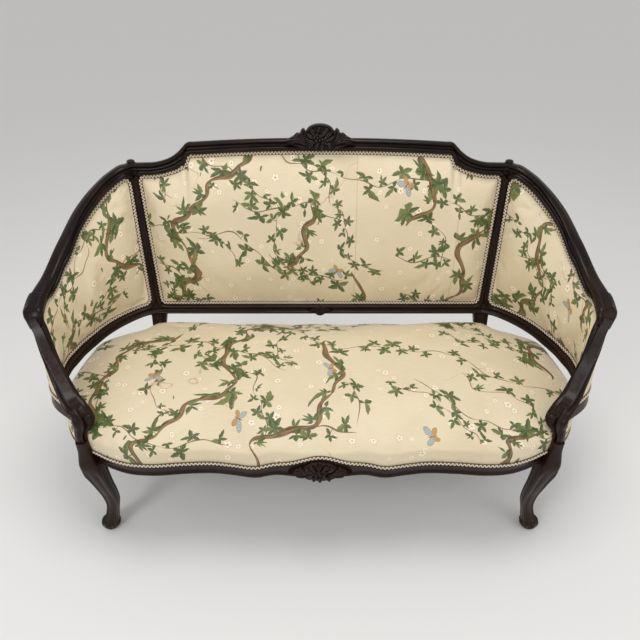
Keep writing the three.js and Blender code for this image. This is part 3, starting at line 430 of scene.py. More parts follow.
def startMaterial(name, roughness, **sockets):
    material = bpy.data.materials.new(name)
    material.use_nodes = True
    shader = material.node_tree.nodes["Principled BSDF"]
    shader.inputs["Roughness"].default_value = roughness
    for key, value in sockets.items():
        shader.inputs[key.replace("_", " ")].default_value = value
    return material, material.node_tree, shader


def coordinates(tree, kind="Object"):
    return makeNode(tree, "TexCoord", {}).outputs[kind]


def parted(tree, vector):
    return [Field(tree, socket) for socket in makeNode(tree, "SeparateXYZ", {0: vector}).outputs]


def joined(tree, x, y):
    return makeNode(tree, "CombineXYZ", {0: x, 1: y}).outputs[0]


def stretched(tree, vector, scale=(1, 1, 1), turn=0.0):
    node = makeNode(tree, "Mapping", {"Vector": vector, "Scale": scale, "Rotation": (0, 0, turn)})
    return node.outputs[0]


def noise(tree, vector, scale, detail=3, roughness=0.55, dimensions="3D"):
    inputs = {"Vector": vector, "Scale": scale, "Detail": detail, "Roughness": roughness}
    return Field(tree, makeNode(tree, "TexNoise", inputs, noise_dimensions=dimensions).outputs["Fac"])


def hashed(tree, x, y=None):
    # A random number, 0 to 1, for a whole number or a pair of them.
    if y is None:
        node = makeNode(tree, "TexWhiteNoise", {"W": x}, noise_dimensions="1D")
    else:
        node = makeNode(tree, "TexWhiteNoise", {"Vector": joined(tree, x, y)}, noise_dimensions="2D")
    return Field(tree, node.outputs["Value"])


def attribute(tree, name):
    return Field(tree, makeNode(tree, "Attribute", {}, attribute_name=name).outputs["Fac"])


def colour(hexText):
    # A written colour as the shader's linear one.
    parts = [int(hexText[i:i + 2], 16) / 255 for i in (0, 2, 4)]
    return tuple(p / 12.92 if p <= 0.04045 else ((p + 0.055) / 1.055) ** 2.4 for p in parts) + (1,)


def layered(tree, base, *layers):
    # A base under layers, each written as how much of it shows and its colour.
    for amount, over in layers:
        base = makeNode(tree, "Mix", {0: amount, 6: base, 7: over}, data_type="RGBA").outputs[2]
    return base


def dress(tree, shader, base, height, depth, strength, roughness=None):
    # Gives a shader its colour, its bumps with their depth in metres, and a roughness that varies.
    bump = makeNode(tree, "Bump", {"Height": height, "Distance": depth, "Strength": strength})
    tree.links.new(base, shader.inputs["Base Color"])
    tree.links.new(bump.outputs[0], shader.inputs["Normal"])
    if roughness:
        tree.links.new(roughness.socket, shader.inputs["Roughness"])


# The rubbed colour on the edges is partly real wear and partly a painted highlight.
woodFinish = {
    "deep": "0e0908", "main": "1c100c", "red": "301912", "rubbedAndHighlit": "67595a", "lowTone": "2d160b",
    "lowBand": (0.56, 0.4), "coat": 0.09, "coatRoughness": 0.2, "shine": 0.36, "gloss": 0.17,
    "grainAcross": 230, "grainAlong": 12,
}


def makeDarkWood():
    # Stained walnut: dark pores along the grain, redder in clouds and low down, darker in hollows as painted
    # shade, and greyer on the edges, partly real wear from hands and dusters and partly a painted highlight.
    f = woodFinish
    ink = {key: colour(f[key]) for key in ("deep", "main", "red", "rubbedAndHighlit", "lowTone")}
    material, tree, shader = startMaterial("dark_walnut", f["shine"], Coat_Weight=f["coat"],
                                           Coat_Roughness=f["coatRoughness"], Specular_IOR_Level=f["gloss"])
    place = coordinates(tree)
    cloudy = noise(tree, place, 8, 4)
    fibres = stretched(tree, place, (f["grainAlong"], f["grainAcross"], f["grainAcross"]))
    grain = noise(tree, fibres, 1, 5, 0.65)
    pores = noise(tree, stretched(tree, place, (30, 420, 420)), 1.6, 2)
    dust = noise(tree, place, 60, 4, 0.6)
    wearAndPaintedLight = attribute(tree, "wearAndPaintedLight")
    low = parted(tree, place)[2].between(*f["lowBand"])
    base = layered(
        tree, ink["deep"], (grain.between(0.3, 0.7), ink["main"]),
        (cloudy.between(0.45, 0.72) * 0.6, ink["red"]), (low * (grain * 0.5 + 0.25), ink["lowTone"]),
        # painted shade in the hollows, then the edges lighter: partly real wear, partly a painted highlight
        (wearAndPaintedLight.between(-0.02, -0.25) * 0.8, ink["deep"]),
        (wearAndPaintedLight.between(0.3, 0.9) * dust.between(0.2, 0.6) * 0.5, ink["rubbedAndHighlit"]))
    dress(tree, shader, base, grain * 0.5 + pores * 0.7 + dust * 0.25, 0.0004, 0.55,
          grain * 0.12 + cloudy * 0.12 + 0.2)
    return material


def makeBeech():
    material, tree, shader = startMaterial("bare_beech", 0.7)
    place = coordinates(tree)
    grain = noise(tree, stretched(tree, place, (8, 190, 190)), 1, 5, 0.6)
    flecks = noise(tree, stretched(tree, place, (60, 500, 500)), 1.2, 1)
    base = layered(tree, colour("b08a5c"), (grain.between(0.3, 0.75), colour("8c6a42")),
                   (flecks.between(0.6, 0.7) * 0.5, colour("7a5734")))
    dress(tree, shader, base, grain, 0.0004, 0.5)
    return material


def makeWeave(name, light, dark, threads, roughness, depth):
    # Plain open weave: two sets of threads at right angles, over and under.
    material, tree, shader = startMaterial(name, roughness)
    place = coordinates(tree)
    x, y, z = parted(tree, place)
    height = absolute(sine(x * threads)).op("MAXIMUM", absolute(sine((y + z) * threads)))
    base = layered(tree, colour(dark), (height * noise(tree, place, 60, 3), colour(light)))
    dress(tree, shader, base, height, depth, 0.6)
    return material


def makeSteel():
    material, tree, shader = startMaterial("spring_wire", 0.4, Metallic=1.0)
    rust = noise(tree, coordinates(tree), 60, 4)
    base = layered(tree, colour("8c8a84"), (rust.between(0.5, 0.7), colour("6b5546")))
    dress(tree, shader, base, rust, 0.0002, 0.5, rust * 0.5 + 0.2)
    return material


darkWood = makeDarkWood()
beech = makeBeech()
jute = makeWeave("jute_webbing", "a8875a", "6a5030", 2400, 0.95, 0.0006)
blackCambric = makeWeave("black_cambric", "2a292b", "111112", 5200, 0.95, 0.0002)
steel = makeSteel()
print("settee: plain finishes ready")


# ---- the rails round the back
# Their moulding: height proud of the rail's middle against the reach in from its outer edge. A dark
# outer bead, a hollow, and the inner bead beside the cloth, which goes on round the stiles.
railMoulding = np.array([
    [32.5, -17], [7, -17], [2.6, -16.4], [0.6, -13.5], [0, -8], [0, 1], [0.2, 6.5], [1.2, 9.8], [3.2, 13.2],
    [5.6, 15.6], [8, 16.6], [10.2, 15.6], [11.6, 13.4], [12.6, 11.8], [14.5, 9.9], [17, 9.2], [19.4, 9.9],
    [20.6, 11.2], [21.5, 9.6], [33, 9.4], [33, 3], [44.5, 3], [44.5, -12.8], [33, -12.8]])
# The inner bead, measured out from the cloth's edge, with a flat skirt that fills the panel's corners.
innerBead = np.array([
    [0, 2], [0, 10.2], [0.7, 12.6], [2.4, 15], [4.8, 16.6], [7.2, 16.7], [9.4, 15.6], [11, 13.6],
    [11.9, 11.4], [12.6, 10.4], [14, 9.3], [27, 9.2], [27, -12.6], [12, -16.2], [5, -14.5], [0, -12.7]])
# Each panel's face, the height of its crown, how far in from the face's ends its padding starts, the radii
# of its corners, and the rows and columns of its pad and of its outside cover.
backPanel = {"face": backFace, "crown": 30, "start": stileHalf, "end": stileHalf, "round": (24, 24),
             "pad": (111, 241), "cover": (60, 110)}
wingPanel = {"face": wingFace, "crown": 22, "start": stileHalf, "end": armPostDepth / 2, "round": (24, 14),
             "pad": (97, 131), "cover": (50, 80)}


def middleWalk(face):
    # Along the middle of a face: u, and the length walked up to it.
    u = np.linspace(faceStart[face], 1, 400)
    return u, walk(face(u, np.full(u.shape, 0.5)))


def panelPlace(panel, across, up, out):
    # From shares of the way across and up a panel, to u and h. Its edge lies out over the timber.
    face = panel["face"]
    across, up = np.broadcast_arrays(across, up)
    one = np.ones_like(across)
    start = faceStart[face] + acrossShare(face, one * faceStart[face], up, panel["start"] - out)
    end = 1 - acrossShare(face, one, up, panel["end"] - out)
    u = mix(start, end, across)
    low = upShare(face, u, 0, railWidth - out)
    high = 1 - upShare(face, u, 1, railWidth - out)
    return u, mix(low, high, up)


def panelSize(panel, out):
    face = panel["face"]
    u, walked = middleWalk(face)
    high = np.mean(np.linalg.norm(face(u, np.ones_like(u)) - face(u, np.zeros_like(u)), axis=1))
    return walked[-1] - panel["start"] - panel["end"] + 2 * out, high - 2 * railWidth + 2 * out


def roundCorners(panel, a, b, out):
    # Shares 0 to 1 of a panel: points in a corner are drawn in along their own ray from the corner's
    # centre, so that the square corner becomes a quarter of an oval.
    width, high = panelSize(panel, out)
    for side, radius in ((0, panel["round"][0]), (1, panel["round"][1])):
        radius = radius + out - strip
        ra, rb = radius / width, radius / high
        fromEdge = a if side == 0 else 1 - a
        for up in (0, 1):
            fromEnd = b if up == 0 else 1 - b
            qa, qb = (ra - fromEdge) / ra, (rb - fromEnd) / rb
            inside = (qa > 0) & (qb > 0)
            length = np.maximum(np.hypot(qa, qb), 1e-9)
            factor = np.where(inside, np.maximum(qa, qb) / length, 1)
            newEdge, newEnd = ra - qa * factor * ra, rb - qb * factor * rb
            newA = newEdge if side == 0 else 1 - newEdge
            newB = newEnd if up == 0 else 1 - newEnd
            a, b = np.where(inside, newA, a), np.where(inside, newB, b)
    return a, b


def panelLoop(panel, out, count=None):
    # A line round a panel, so far out from the padding: its points, the way out, and the normal.
    face, (width, high) = panel["face"], panelSize(panel, out)
    n, m = int(width / 2), int(high / 2)
    t, s = (np.linspace(0, 1, k + 1)[:-1] for k in (n, m))
    a = np.concatenate([t, np.ones(m), 1 - t, np.zeros(m)])
    b = np.concatenate([np.ones(n), 1 - s, np.zeros(n), s])
    a, b = roundCorners(panel, a, b, out)
    u, h = panelPlace(panel, a, b, out)
    # spread the points evenly along the loop
    points = face(u, h)
    walked = walk(np.vstack([points, points[:1]]))
    count = count(walked[-1]) if count else int(walked[-1] / 2.4)
    wanted = np.linspace(0, walked[-1], count + 1)[:-1]
    u, h, a, b = (np.interp(wanted, walked, np.append(values, values[0])) for values in (u, h, a, b))
    points, normal = face(u, h), faceNormal(face, u, h)
    travel = unit(np.roll(points, -1, 0) - np.roll(points, 1, 0))
    for smoothing in range(3):
        travel = unit(travel + np.roll(travel, 1, 0) + np.roll(travel, -1, 0))
    return {"points": points, "normal": normal, "out": unit(np.cross(normal, travel)), "across": a, "up": b}


def alongLoop(loop, section):
    # A section of (out, proud) pairs at each point of a loop.
    points, out, normal = loop["points"][:, None], loop["out"][:, None], loop["normal"][:, None]
    return points + out * section[None, :, :1] + normal * section[None, :, 1:]


backLoop, wingLoop = panelLoop(backPanel, strip), panelLoop(wingPanel, strip)


def beadPart(loop, keep):
    # The run of the inner bead on one timber: the loop's points for which keep holds, in one stretch.
    start = np.flatnonzero(keep & ~np.roll(keep, 1))[0]
    order = (start + np.arange(keep.sum())) % len(keep)
    return sweep(alongLoop(loop, innerBead)[order])


def sideOf(loop, panel):
    # Which timber each point of a loop lies on, parted where the corners are halfway round: 0 the upper
    # rail, 1 the right post, 2 the lower rail, 3 the left post.
    width, high = panelSize(panel, strip)
    left, right = loop["across"] * width, (1 - loop["across"]) * width
    low, top = loop["up"] * high, (1 - loop["up"]) * high
    return np.argmin(np.stack([top, right, low, left]), axis=0)


backSide, wingSide = sideOf(backLoop, backPanel), sideOf(wingLoop, wingPanel)


def mitre(edge, section):
    # A section where the back's rail meets the wing's, over the line that both faces share.
    reach, proud = section.T
    perLength = upShare(backFace, single, edge, 1.0)[0] + upShare(wingFace, single * 0, edge, 1.0)[0]
    share = reach * perLength / 2
    h = (1 - share) if edge else share
    left, right = faceNormal(backFace, np.ones_like(h), h), faceNormal(wingFace, np.zeros_like(h), h)
    middle = unit(left + right)
    return backFace(np.ones_like(h), h) + middle * (proud / np.sum(middle * left, -1))[..., None]


def railRings(face, us, edge, section, thickness=1.0):
    # A rail's section at each u, its reach measured square to its edge.
    reach, proud = section[None, :, 0], section[None, :, 1]
    u = us[:, None] * np.ones_like(reach)
    share = upShare(face, u, edge, reach)
    h = (1 - share) if edge else share
    return layer(face, u, h, proud * (thickness * np.ones_like(us))[:, None])


def backRail(us, edge):
    # A rail of the back, from one mitre to the other.
    rings, end = railRings(backFace, us, edge, railMoulding), mitre(edge, railMoulding)
    return sweep(np.concatenate([[end * mirror], rings, [end]]))


# The crest's stations lie close together at the shoulders, where it turns sharply.
crestRuns = ((0, 0.62, 60), (0.62, 0.84, 70), (0.84, 1, 30))
crestHalf = np.concatenate([np.linspace(low, high, count)[:-1] for low, high, count in crestRuns])
crestStations = np.concatenate([-crestHalf[:0:-1], crestHalf])
makeWood("crest_rail_carved", [backRail(crestStations, 1), beadPart(backLoop, backSide == 0)], ["crest_rail"])
lowerStations = np.linspace(-1, 1, 81)[1:-1]
makeWood("lower_back_rail_moulded", [backRail(lowerStations, 0), beadPart(backLoop, backSide == 2)],
         ["lower_back_rail"])

elbow = {
    "railThickness": 34, "thickness": 44, "block": 56, "swell": 0.15, "roll": 20, "eye": 11,
    "armSection": np.array([
        [32.5, -17], [12, -17], [5, -15.8], [1.2, -12.5], [-0.6, -7], [-1.2, -1], [-1, 5], [0.4, 10],
        [3.2, 13.6], [7, 15.6], [11, 16.2], [14.4, 15.6], [16.6, 14.2], [17.6, 12.6], [18.4, 11.4],
        [19.4, 10.8], [20.4, 10.9], [21, 11], [21.6, 10], [33, 9.4], [33, 3], [44.5, 3], [44.5, -12.8],
        [33, -12.8]])}


def wingTopBody():
    # The moulding turns into a rounded arm rest on its way to the elbow. There it steps up into a block
    # with a few carved ridges, which rolls over in front.
    blockStart = 1 - elbow["block"] / wingTopLine.length
    us = np.concatenate([np.linspace(0, blockStart - 0.012, 150)[1:], np.linspace(blockStart - 0.01, 1, 60)])
    thickness = mix(elbow["railThickness"], elbow["thickness"], us**3) / elbow["railThickness"]
    moulded = railRings(wingFace, us, 1, railMoulding, thickness)
    rounded = railRings(wingFace, us, 1, elbow["armSection"], thickness)
    rings = mix(moulded, rounded, smooth(0.5, 0.82, us)[:, None, None])
    middle = rings[:, :20].mean(1, keepdims=True)
    step = smooth(blockStart - 0.004, blockStart + 0.004, us)
    dip = np.exp(-(((us - blockStart + 0.008) / 0.005) ** 2))
    around = np.linspace(0, 1, len(railMoulding))[None, :]
    ridge = np.cos(2 * np.pi * around * 9) * step[:, None] * smooth(1.02, 0.97, us)[:, None] * 0.03
    size = 1 + (elbow["swell"] * step - 0.05 * dip)[:, None] + ridge
    bodyPart = smooth(34, 30, elbow["armSection"][:, 0])[None, :]
    rings = middle + (rings - middle) * (1 + (size - 1) * bodyPart)[..., None]
    start, end = mitre(1, railMoulding), rings[-1]
    centre = end.mean(0)
    forward = unit(centre - rings[-3].mean(0))
    down = np.array([0, 0, -1.0])
    t = np.linspace(0, 1, 16)[1:]
    size = np.sqrt(1 - (t * 0.98) ** 2) ** 0.7
    roll = [(end - centre) * k + centre + forward * elbow["roll"] * s + down * 5 * s**2
            for k, s in zip(size, t)]
    return sweep(np.concatenate([[start], rings, roll]))


def wingLowerBody():
    rings = railRings(wingFace, np.linspace(0, 1, 120)[1:], 0, railMoulding)
    return sweep(np.concatenate([[mitre(0, railMoulding)], rings]))


def rosette(centre, axis, radius, depth, turns):
    # A carved volute: a low dome whose height follows a groove that winds in towards the eye.
    axis = unit(np.asarray(axis, float))
    side = unit(np.cross(axis, [0, 0, 1.0]))
    upward = np.cross(side, axis)
    r = np.linspace(0.02, 1, 22)[:, None]
    angle = np.linspace(0, 2 * np.pi, 49)[None, :-1]
    ridge = 0.5 + 0.5 * np.cos(np.log(r) * turns * 2.2 + angle)
    height = depth * (np.sqrt(np.maximum(0, 1 - r**2)) * 0.45
                      + 0.55 * ridge * smooth(1.02, 0.8, r) * smooth(0, 0.16, r) + 0.5 * smooth(0.2, 0.08, r))
    flat = side * (np.cos(angle) * r)[..., None] + upward * (np.sin(angle) * r)[..., None]
    front = centre + axis * height[..., None] + flat * radius
    return sweep(np.concatenate([front, [front[-1] - axis * depth * 1.2]]))


elbowForward = unit(wingTopLine(1.0) - wingTopLine(0.98))
elbowOut = -faceNormal(wingFace, single, single)[0]
elbowPlace = wingTopLine(1.0) + elbowForward * (elbow["roll"] - 4) + np.array([0, 0, -20]) + elbowOut * 4
elbowEye = rosette(elbowPlace, elbowForward + np.array([0, 0, -0.25]), elbow["eye"], 5, 1.4)
makePair("wing_top_rail_carved", [wingTopBody(), beadPart(wingLoop, wingSide == 0), elbowEye],
         ["wing_top_rail"])
makePair("wing_lower_rail_moulded", [wingLowerBody(), beadPart(wingLoop, wingSide == 2)], ["wing_lower_rail"])
print("settee: rails of the back and wings")

# ---- rear posts
rearLeg = {"kick": 72, "splay": 7, "foot": 0.8}


def stileBody():
    # The rear post from the floor up: a leg that rakes back, the seat block, then the stile behind the
    # two inner beads, up to the small knob over the joint of the rails, which is made apart.
    tack = 1 - strip / stileHalf
    section = np.array([
        [-1, 2.6], [-tack, 2.8], [-tack * 0.98, 9], [-0.2, 9.3], [0, 9.2], [0.2, 9.3], [tack * 0.98, 9],
        [tack, 2.8], [1, 2.6], [1, -12.8], [tack * 1.02, -13], [tack, -15.5], [tack * 0.8, -17], [0, -17.4],
        [-tack * 0.8, -17], [-tack, -15.5], [-tack * 1.02, -13], [-1, -12.8]])
    across, proud = section[:, 0], section[:, 1]
    rings = []
    # the leg: a rounded square
    angle = np.arctan2(proud, across * 17)
    square = 1 / np.maximum(np.abs(np.cos(angle)), np.abs(np.sin(angle)))
    square = square / (1 + 0.12 * (square - 1) / 0.414)
    corners = np.stack([np.cos(angle) * square, -np.sin(angle) * square, 0 * angle], -1)
    behind = seatDepth - legPostWidth / 2
    for rise in np.linspace(0, 1, 26):
        kick = np.interp(rise, [0, 0.2, 0.5, 0.8, 1], [1, 0.72, 0.3, 0.06, 0])
        kick = 0.92 * (1 - rise) ** 1.75 + 0.08 * kick
        width = legPostWidth * mix(rearLeg["foot"], 1, min(1, 2 * rise))
        x, y = postHalf - rearLeg["splay"] * (1 - rise), behind + rearLeg["kick"] * kick
        rings.append(np.array([x, y, rise * railBottom]) + corners * width / 2)
    for z in (330, railTop):
        rings.append(np.array([postHalf, behind, z]) + corners * legPostWidth / 2)
    for h in np.linspace(0, 0.965, 40):
        backU = 1 - acrossShare(backFace, single, single * h, stileHalf)[0]
        wingU = acrossShare(wingFace, single * 0, single * h, stileHalf)[0]
        hs = np.full(len(section), h)
        onBack = layer(backFace, mix(1, backU, np.clip(-across, 0, 1)), hs, proud)
        onWing = layer(wingFace, mix(0, wingU, np.clip(across, 0, 1)), hs, proud)
        normal = unit(faceNormal(backFace, single, single * h) + faceNormal(wingFace, single * 0, single * h))
        middle = backFace(single, single * h) + normal * proud[:, None]
        ring = np.where(across[:, None] < 0, onBack, onWing)
        rings.append(np.where(across[:, None] == 0, middle, ring))
    return sweep(np.array(rings))


def knob():
    # A low carved bud over the joint of the rails: rings about an upright axis, on a wide foot that sinks
    # into both rails.
    lean = mitre(1, np.zeros((1, 2)))[0]
    profile = [[17, -16], [17, -4], [15.6, -2], [12.6, -0.6], [11, 0.8], [10.9, 2.4], [10.8, 4.4], [9.6, 6.6],
               [7.2, 8.4], [4, 9.4], [1.6, 9.7], [0.3, 9.8]]
    angle = np.linspace(0, 2 * np.pi, 49)[:-1]
    lobes = 1 + 0.09 * np.cos(5 * angle)
    rings = [lean + np.stack([np.cos(angle) * r * lobes, np.sin(angle) * r * lobes, np.full(48, z)], -1)
             for r, z in profile]
    return sweep(np.array(rings))


rearPostBeads = [beadPart(wingLoop, wingSide == 3), beadPart(backLoop, backSide == 1)]
makePair("rear_post_shaped", [stileBody(), knob(), *rearPostBeads], ["rear_post"])
print("settee: rear posts")

# ---- arm posts
armPost = {"eye": 13, "eyeHeight": 430, "eyeSide": 12.5, "eyeReach": 25, "eyeDepth": 5.5}
armSection = np.array([
    [-21.5, 3], [-9.5, 3], [-9.3, 9], [-2, 10], [4, 12], [9, 14.8], [13, 16.9], [16.5, 17.5], [19.6, 16.2],
    [21.6, 13], [22, 9.6], [20.8, 6.4], [17.6, 4], [13.8, 2.4], [11.8, 0.2], [12.4, -2.2], [16, -3.6],
    [20, -4.4], [21.2, -5.8], [20.6, -7.6], [17.4, -8.8], [13.4, -10], [12.6, -12.6], [10.8, -15.8],
    [7, -17.8], [-4, -18.5], [-9.4, -18.2], [-9.7, -13], [-21.5, -12.8]])
# The scroll near the post's foot: share of the way up, then shares of the width, of the depth, and how
# far the front leans in.
scrollShares = np.array([
    [0, 0.72, 0.66, 0], [0.08, 0.72, 0.66, 0], [0.125, 0.9, 0.84, 0.02], [0.155, 1.16, 1, 0.03],
    [0.185, 1.36, 1.1, 0.04], [0.23, 1.46, 1.14, 0.05], [0.31, 1.38, 1.08, 0.05], [0.45, 1.18, 1.02, 0.03],
    [0.62, 1.05, 1, 0], [1, 1, 1, 0]])


def armBody():
    # The section rides up the post's middle line, facing the way the wing's end does: a narrow neck, the
    # swelling scroll, then an even roll, hollow and rib up to the elbow.
    top = 1 - upShare(wingFace, single, 1, 33)[0]
    rings = []
    for z in np.linspace(railTop, mix(lowerRailHeight, elbowHeight, top), 130):
        h = np.clip((z - lowerRailHeight) / (elbowHeight - lowerRailHeight), 0, 1)
        across = unit(acrossSlope(wingFace, single, single * h))[0]
        outwards = faceNormal(wingFace, single, single * h)[0]
        rise = (z - railTop) / (elbowHeight - railTop)
        width, depth, lean = (np.interp(rise, scrollShares[:, 0], scrollShares[:, k]) for k in (1, 2, 3))
        a, proud = armSection[:, 0], armSection[:, 1]
        swell = np.where((a > 0) | (rise < 0.1), width, min(1, width))
        reach = np.where((a < -9.4) & (z > lowerRailHeight), a, a * depth)
        sideways = proud * swell + np.maximum(0, a) / 21.5 * lean * armPostWidth
        neck = smooth(0.14, 0.06, rise)
        even = np.minimum(1, 15.5 / np.maximum(np.hypot(reach, sideways), 1e-6))
        reach, sideways = reach * mix(1, even, neck), sideways * mix(1, even, neck)
        rings.append(armAt(z) + across * reach[:, None] + outwards * sideways[:, None])
    return sweep(np.array(rings))


eyeRise = (armPost["eyeHeight"] - lowerRailHeight) / (elbowHeight - lowerRailHeight)
eyeForward = unit(acrossSlope(wingFace, single, single * eyeRise))[0]
eyeSide = faceNormal(wingFace, single, single * eyeRise)[0]
eyeCentre = armAt(armPost["eyeHeight"]) + eyeForward * armPost["eyeReach"] + eyeSide * armPost["eyeSide"]
eyeAxis = eyeForward * 0.85 + eyeSide * 0.25 + np.array([0, 0, 0.25])
armEye = rosette(eyeCentre, eyeAxis, armPost["eye"], armPost["eyeDepth"], 1.2)
makePair("arm_post_carved", [armBody(), beadPart(wingLoop, wingSide == 1), armEye], ["arm_post"])

# ---- front legs
legShares = np.array([
    [0.2, 0.2, 0, 0.6], [0.21, 0.2, 0.035, 0.78], [0.1, 0.2, 0.1, 0.76], [-0.14, 0.24, 0.2, 0.65],
    [-0.33, 0.22, 0.3, 0.63], [-0.37, 0.12, 0.42, 0.66], [-0.34, 0, 0.52, 0.72], [-0.22, -0.07, 0.66, 0.86],
    [-0.06, -0.04, 0.78, 1], [0.02, 0, 0.85, 0.84], [0.03, 0, 0.92, 0.66], [0.03, 0, 1, 0.6]])
frontLeg = {"edge": 0.17, "edgeWidth": 0.11, "foot": 17, "toe": 0.12}


def legBody():
    # A rounded square that rides down an S-shaped line, with a raised bead along its corners that fades
    # into the block at the top.
    line = curveThrough(np.stack([
        cornerHalf + legShares[:, 0] * legBlock, legShares[:, 1] * legBlock, legShares[:, 2] * railTop], -1))
    t = np.linspace(0, 1, 110)
    widthLine = curveThrough(np.stack([legShares[:, 3], 0 * legShares[:, 3], 5 * legShares[:, 2]], -1))
    centre, width = line(t), widthLine(t)[:, 0] * legBlock
    height = centre[:, 2] / railTop
    angle = np.linspace(0, 2 * np.pi, 73)[:-1] + np.pi / 4
    power = mix(3.2, 4.5, smooth(0.6, 0.76, height) * smooth(0.88, 0.8, height))[:, None]
    radius = (np.abs(np.cos(angle)) ** power + np.abs(np.sin(angle)) ** power) ** (-1 / power)
    corner = np.abs(np.mod(angle, np.pi / 2) - np.pi / 4)
    bead = frontLeg["edge"] * np.exp(-((corner / frontLeg["edgeWidth"]) ** 2))
    bead = bead - 0.07 * np.exp(-(((corner - 0.34) / 0.14) ** 2))
    fade = smooth(0.78, 0.68, height) * smooth(0.03, 0.12, height)
    toe = 1 + frontLeg["toe"] * np.exp(-(((height - 0.05) / 0.055) ** 2))
    radius = radius * (1 + bead * fade[:, None]) * (toe * width / 2)[:, None]
    rings = centre[:, None] + np.stack([np.cos(angle) * radius, np.sin(angle) * radius, 0 * radius], -1)
    rings[0, :, 2] = 0  # the foot's sole is flat
    return sweep(rings)


footCentre = np.array([cornerHalf + 0.2 * legBlock, 0.2 * legBlock, 20])
footPlaces = (((18.5, -1, 0), (1, 0, 0), 1.5), ((-18.5, -1, 0), (-1, 0, 0), -1.5),
              ((0, -18.5, 0), (0, -1, 0), 1.5))
footScrolls = [rosette(footCentre + move, axis, frontLeg["foot"], 5, turns)
               for move, axis, turns in footPlaces]
makePair("front_leg_cabriole", [legBody(), *footScrolls], ["front_leg"])
print("settee: arm posts and legs")
print("settee: arm posts and legs")

# ---- the seat frame
frontShares = np.array([
    [0, 0.93], [0.1, 0.92], [0.19, 0.84], [0.27, 1], [0.36, 0.86], [0.45, 0.74], [0.57, 0.78], [0.7, 0.89],
    [0.8, 0.8], [0.88, 0.52], [0.94, 0.2]])
sideShares = np.array([
    [0.04, 0.02], [0.34, 0.06], [0.6, 0.13], [0.82, 0.225], [0.97, 0.34], [1, 0.46], [0.96, 0.62],
    [0.82, 0.76]])
rearShares = np.array([[0.55, 0.86], [0.25, 0.925], [0.08, 0.98]])
rightPlan = np.concatenate([
    np.stack([frontShares[:, 0] * cornerHalf, -frontShares[:, 1] * frontBow], -1),
    np.stack([mix(cornerHalf, seatHalf, sideShares[:, 0]), sideShares[:, 1] * seatDepth], -1),
    np.stack([mix(postHalf, seatHalf, rearShares[:, 0]), rearShares[:, 1] * seatDepth], -1)])
rearPlan = np.stack([np.array([1, 0.5, 0, -0.5, -1]) * postHalf, np.full(5, seatDepth)], -1)
plan = np.concatenate([rightPlan, rearPlan, rightPlan[:0:-1] * [-1, 1]])
planSteps = len(plan)
planCurve = curveThrough(plan, closed=True)
seatMiddle = np.array([0, seatDepth * 0.47])
seatRail = {"face": 34, "rise": 33, "riseWidth": 70}


def planAt(step, inset):
    # The seat's outline at a step along it, moved in square to itself.
    step, inset = np.broadcast_arrays(np.asarray(step, float), inset)
    here = planCurve(step / planSteps)
    travel = planCurve((step + 0.01) / planSteps) - planCurve((step - 0.01) / planSteps)
    outwards = unit(np.stack([travel[..., 1], -travel[..., 0]], -1))
    return here - outwards * inset[..., None]


def faceRise(step):
    # The polished face rises in a smooth arch over the carving in the middle of the front.
    here = planCurve(np.asarray(step, float) / planSteps)
    arch = seatRail["rise"] * np.exp(-((here[..., 0] / seatRail["riseWidth"]) ** 2))
    return np.where(here[..., 1] < 0, arch, 0)


def seatRailBody(steps):
    # Section: inset from the outline, height over the rail's underside, and how much of the arch's rise
    # that height takes. A bead runs along the lower edge.
    section = np.array([
        [34, 0, 0], [7, 0, 0], [3, 0.5, 0], [0.7, 2.4, 0], [0, 5.2, 0], [0.7, 8, 0], [2.6, 9.9, 0.02],
        [3.7, 10.9, 0.04], [4, 12.2, 0.06], [3.8, 15, 0.2], [3.1, 20, 0.45], [2, 26, 0.75],
        [1.2, 30.5, 0.95], [1.2, 32.6, 1], [2.2, 34, 1], [4, 34.2, 1], [4, 80, 0], [34, 80, 0]])
    rise = faceRise(steps)[:, None]
    inset, z, take = section[None, :, 0], section[None, :, 1], section[None, :, 2]
    flat = planAt(steps[:, None], inset + 0 * rise)
    return sweep(np.concatenate([flat, (railBottom + z + take * rise)[..., None]], -1))


makeWood("front_seat_rail_moulded", [seatRailBody(np.linspace(-10.8, 10.8, 260))], ["front_seat_rail"])
makePair("side_seat_rail_moulded", [seatRailBody(np.linspace(11.05, 21.8, 120))], ["side_seat_rail"])
blocks = [end + "_corner_block" + side for end in ("front", "rear") for side, sign, turn in sides]
springs = ["spring_row_" + row for row in "123"]
plain = ((darkWood, ["rear_seat_rail"]), (beech, blocks), (jute, ["seat_webbing"]), (steel, springs))
for material, nodes in plain:
    for node in nodes:
        for slot in bpy.data.objects[node].material_slots:
            slot.material = material
print("settee: seat frame")

# ---- carving
def leafRelief(x, z, spine, half, depth, teeth=5, veins=0.22):
    # The height of one carved leaf at points x, z. t runs along its spine and s across it: the face is an
    # arch from edge to edge with a groove for the midrib, ribs that slant forwards, and a toothed edge.
    line = curveThrough(np.array(spine, float))(np.linspace(0, 1, 60))
    gap = np.stack([x[..., None] - line[:, 0], z[..., None] - line[:, 1]], -1)
    nearest = np.argmin(np.sum(gap**2, -1), -1)
    travel = unit(np.gradient(line, axis=0))[nearest]
    away = np.stack([x, z], -1) - line[nearest]
    ahead = np.sum(away * travel, -1)
    across = travel[..., 0] * away[..., 1] - travel[..., 1] * away[..., 0]
    t = nearest / 59 + ahead / walk(line)[-1]
    tooth = np.abs(np.mod(t * teeth - np.abs(across) / half * 0.5, 1) * 2 - 1)
    body = np.clip(t, 0, 1)
    width = half * (np.sin(np.pi * body**0.8) ** 0.7 * (0.84 + 0.16 * tooth) + 0.03)
    s = across / width
    arch = np.sqrt(np.clip(1 - s**2, 0, 1))
    groove = 1 - 0.45 * np.exp(-((across / (half * 0.13)) ** 2)) - veins * (1 - tooth) * np.abs(s)
    inside = smooth(-0.06, 0.04, t) * smooth(1.04, 0.96, t)
    return depth * arch**0.7 * groove * inside


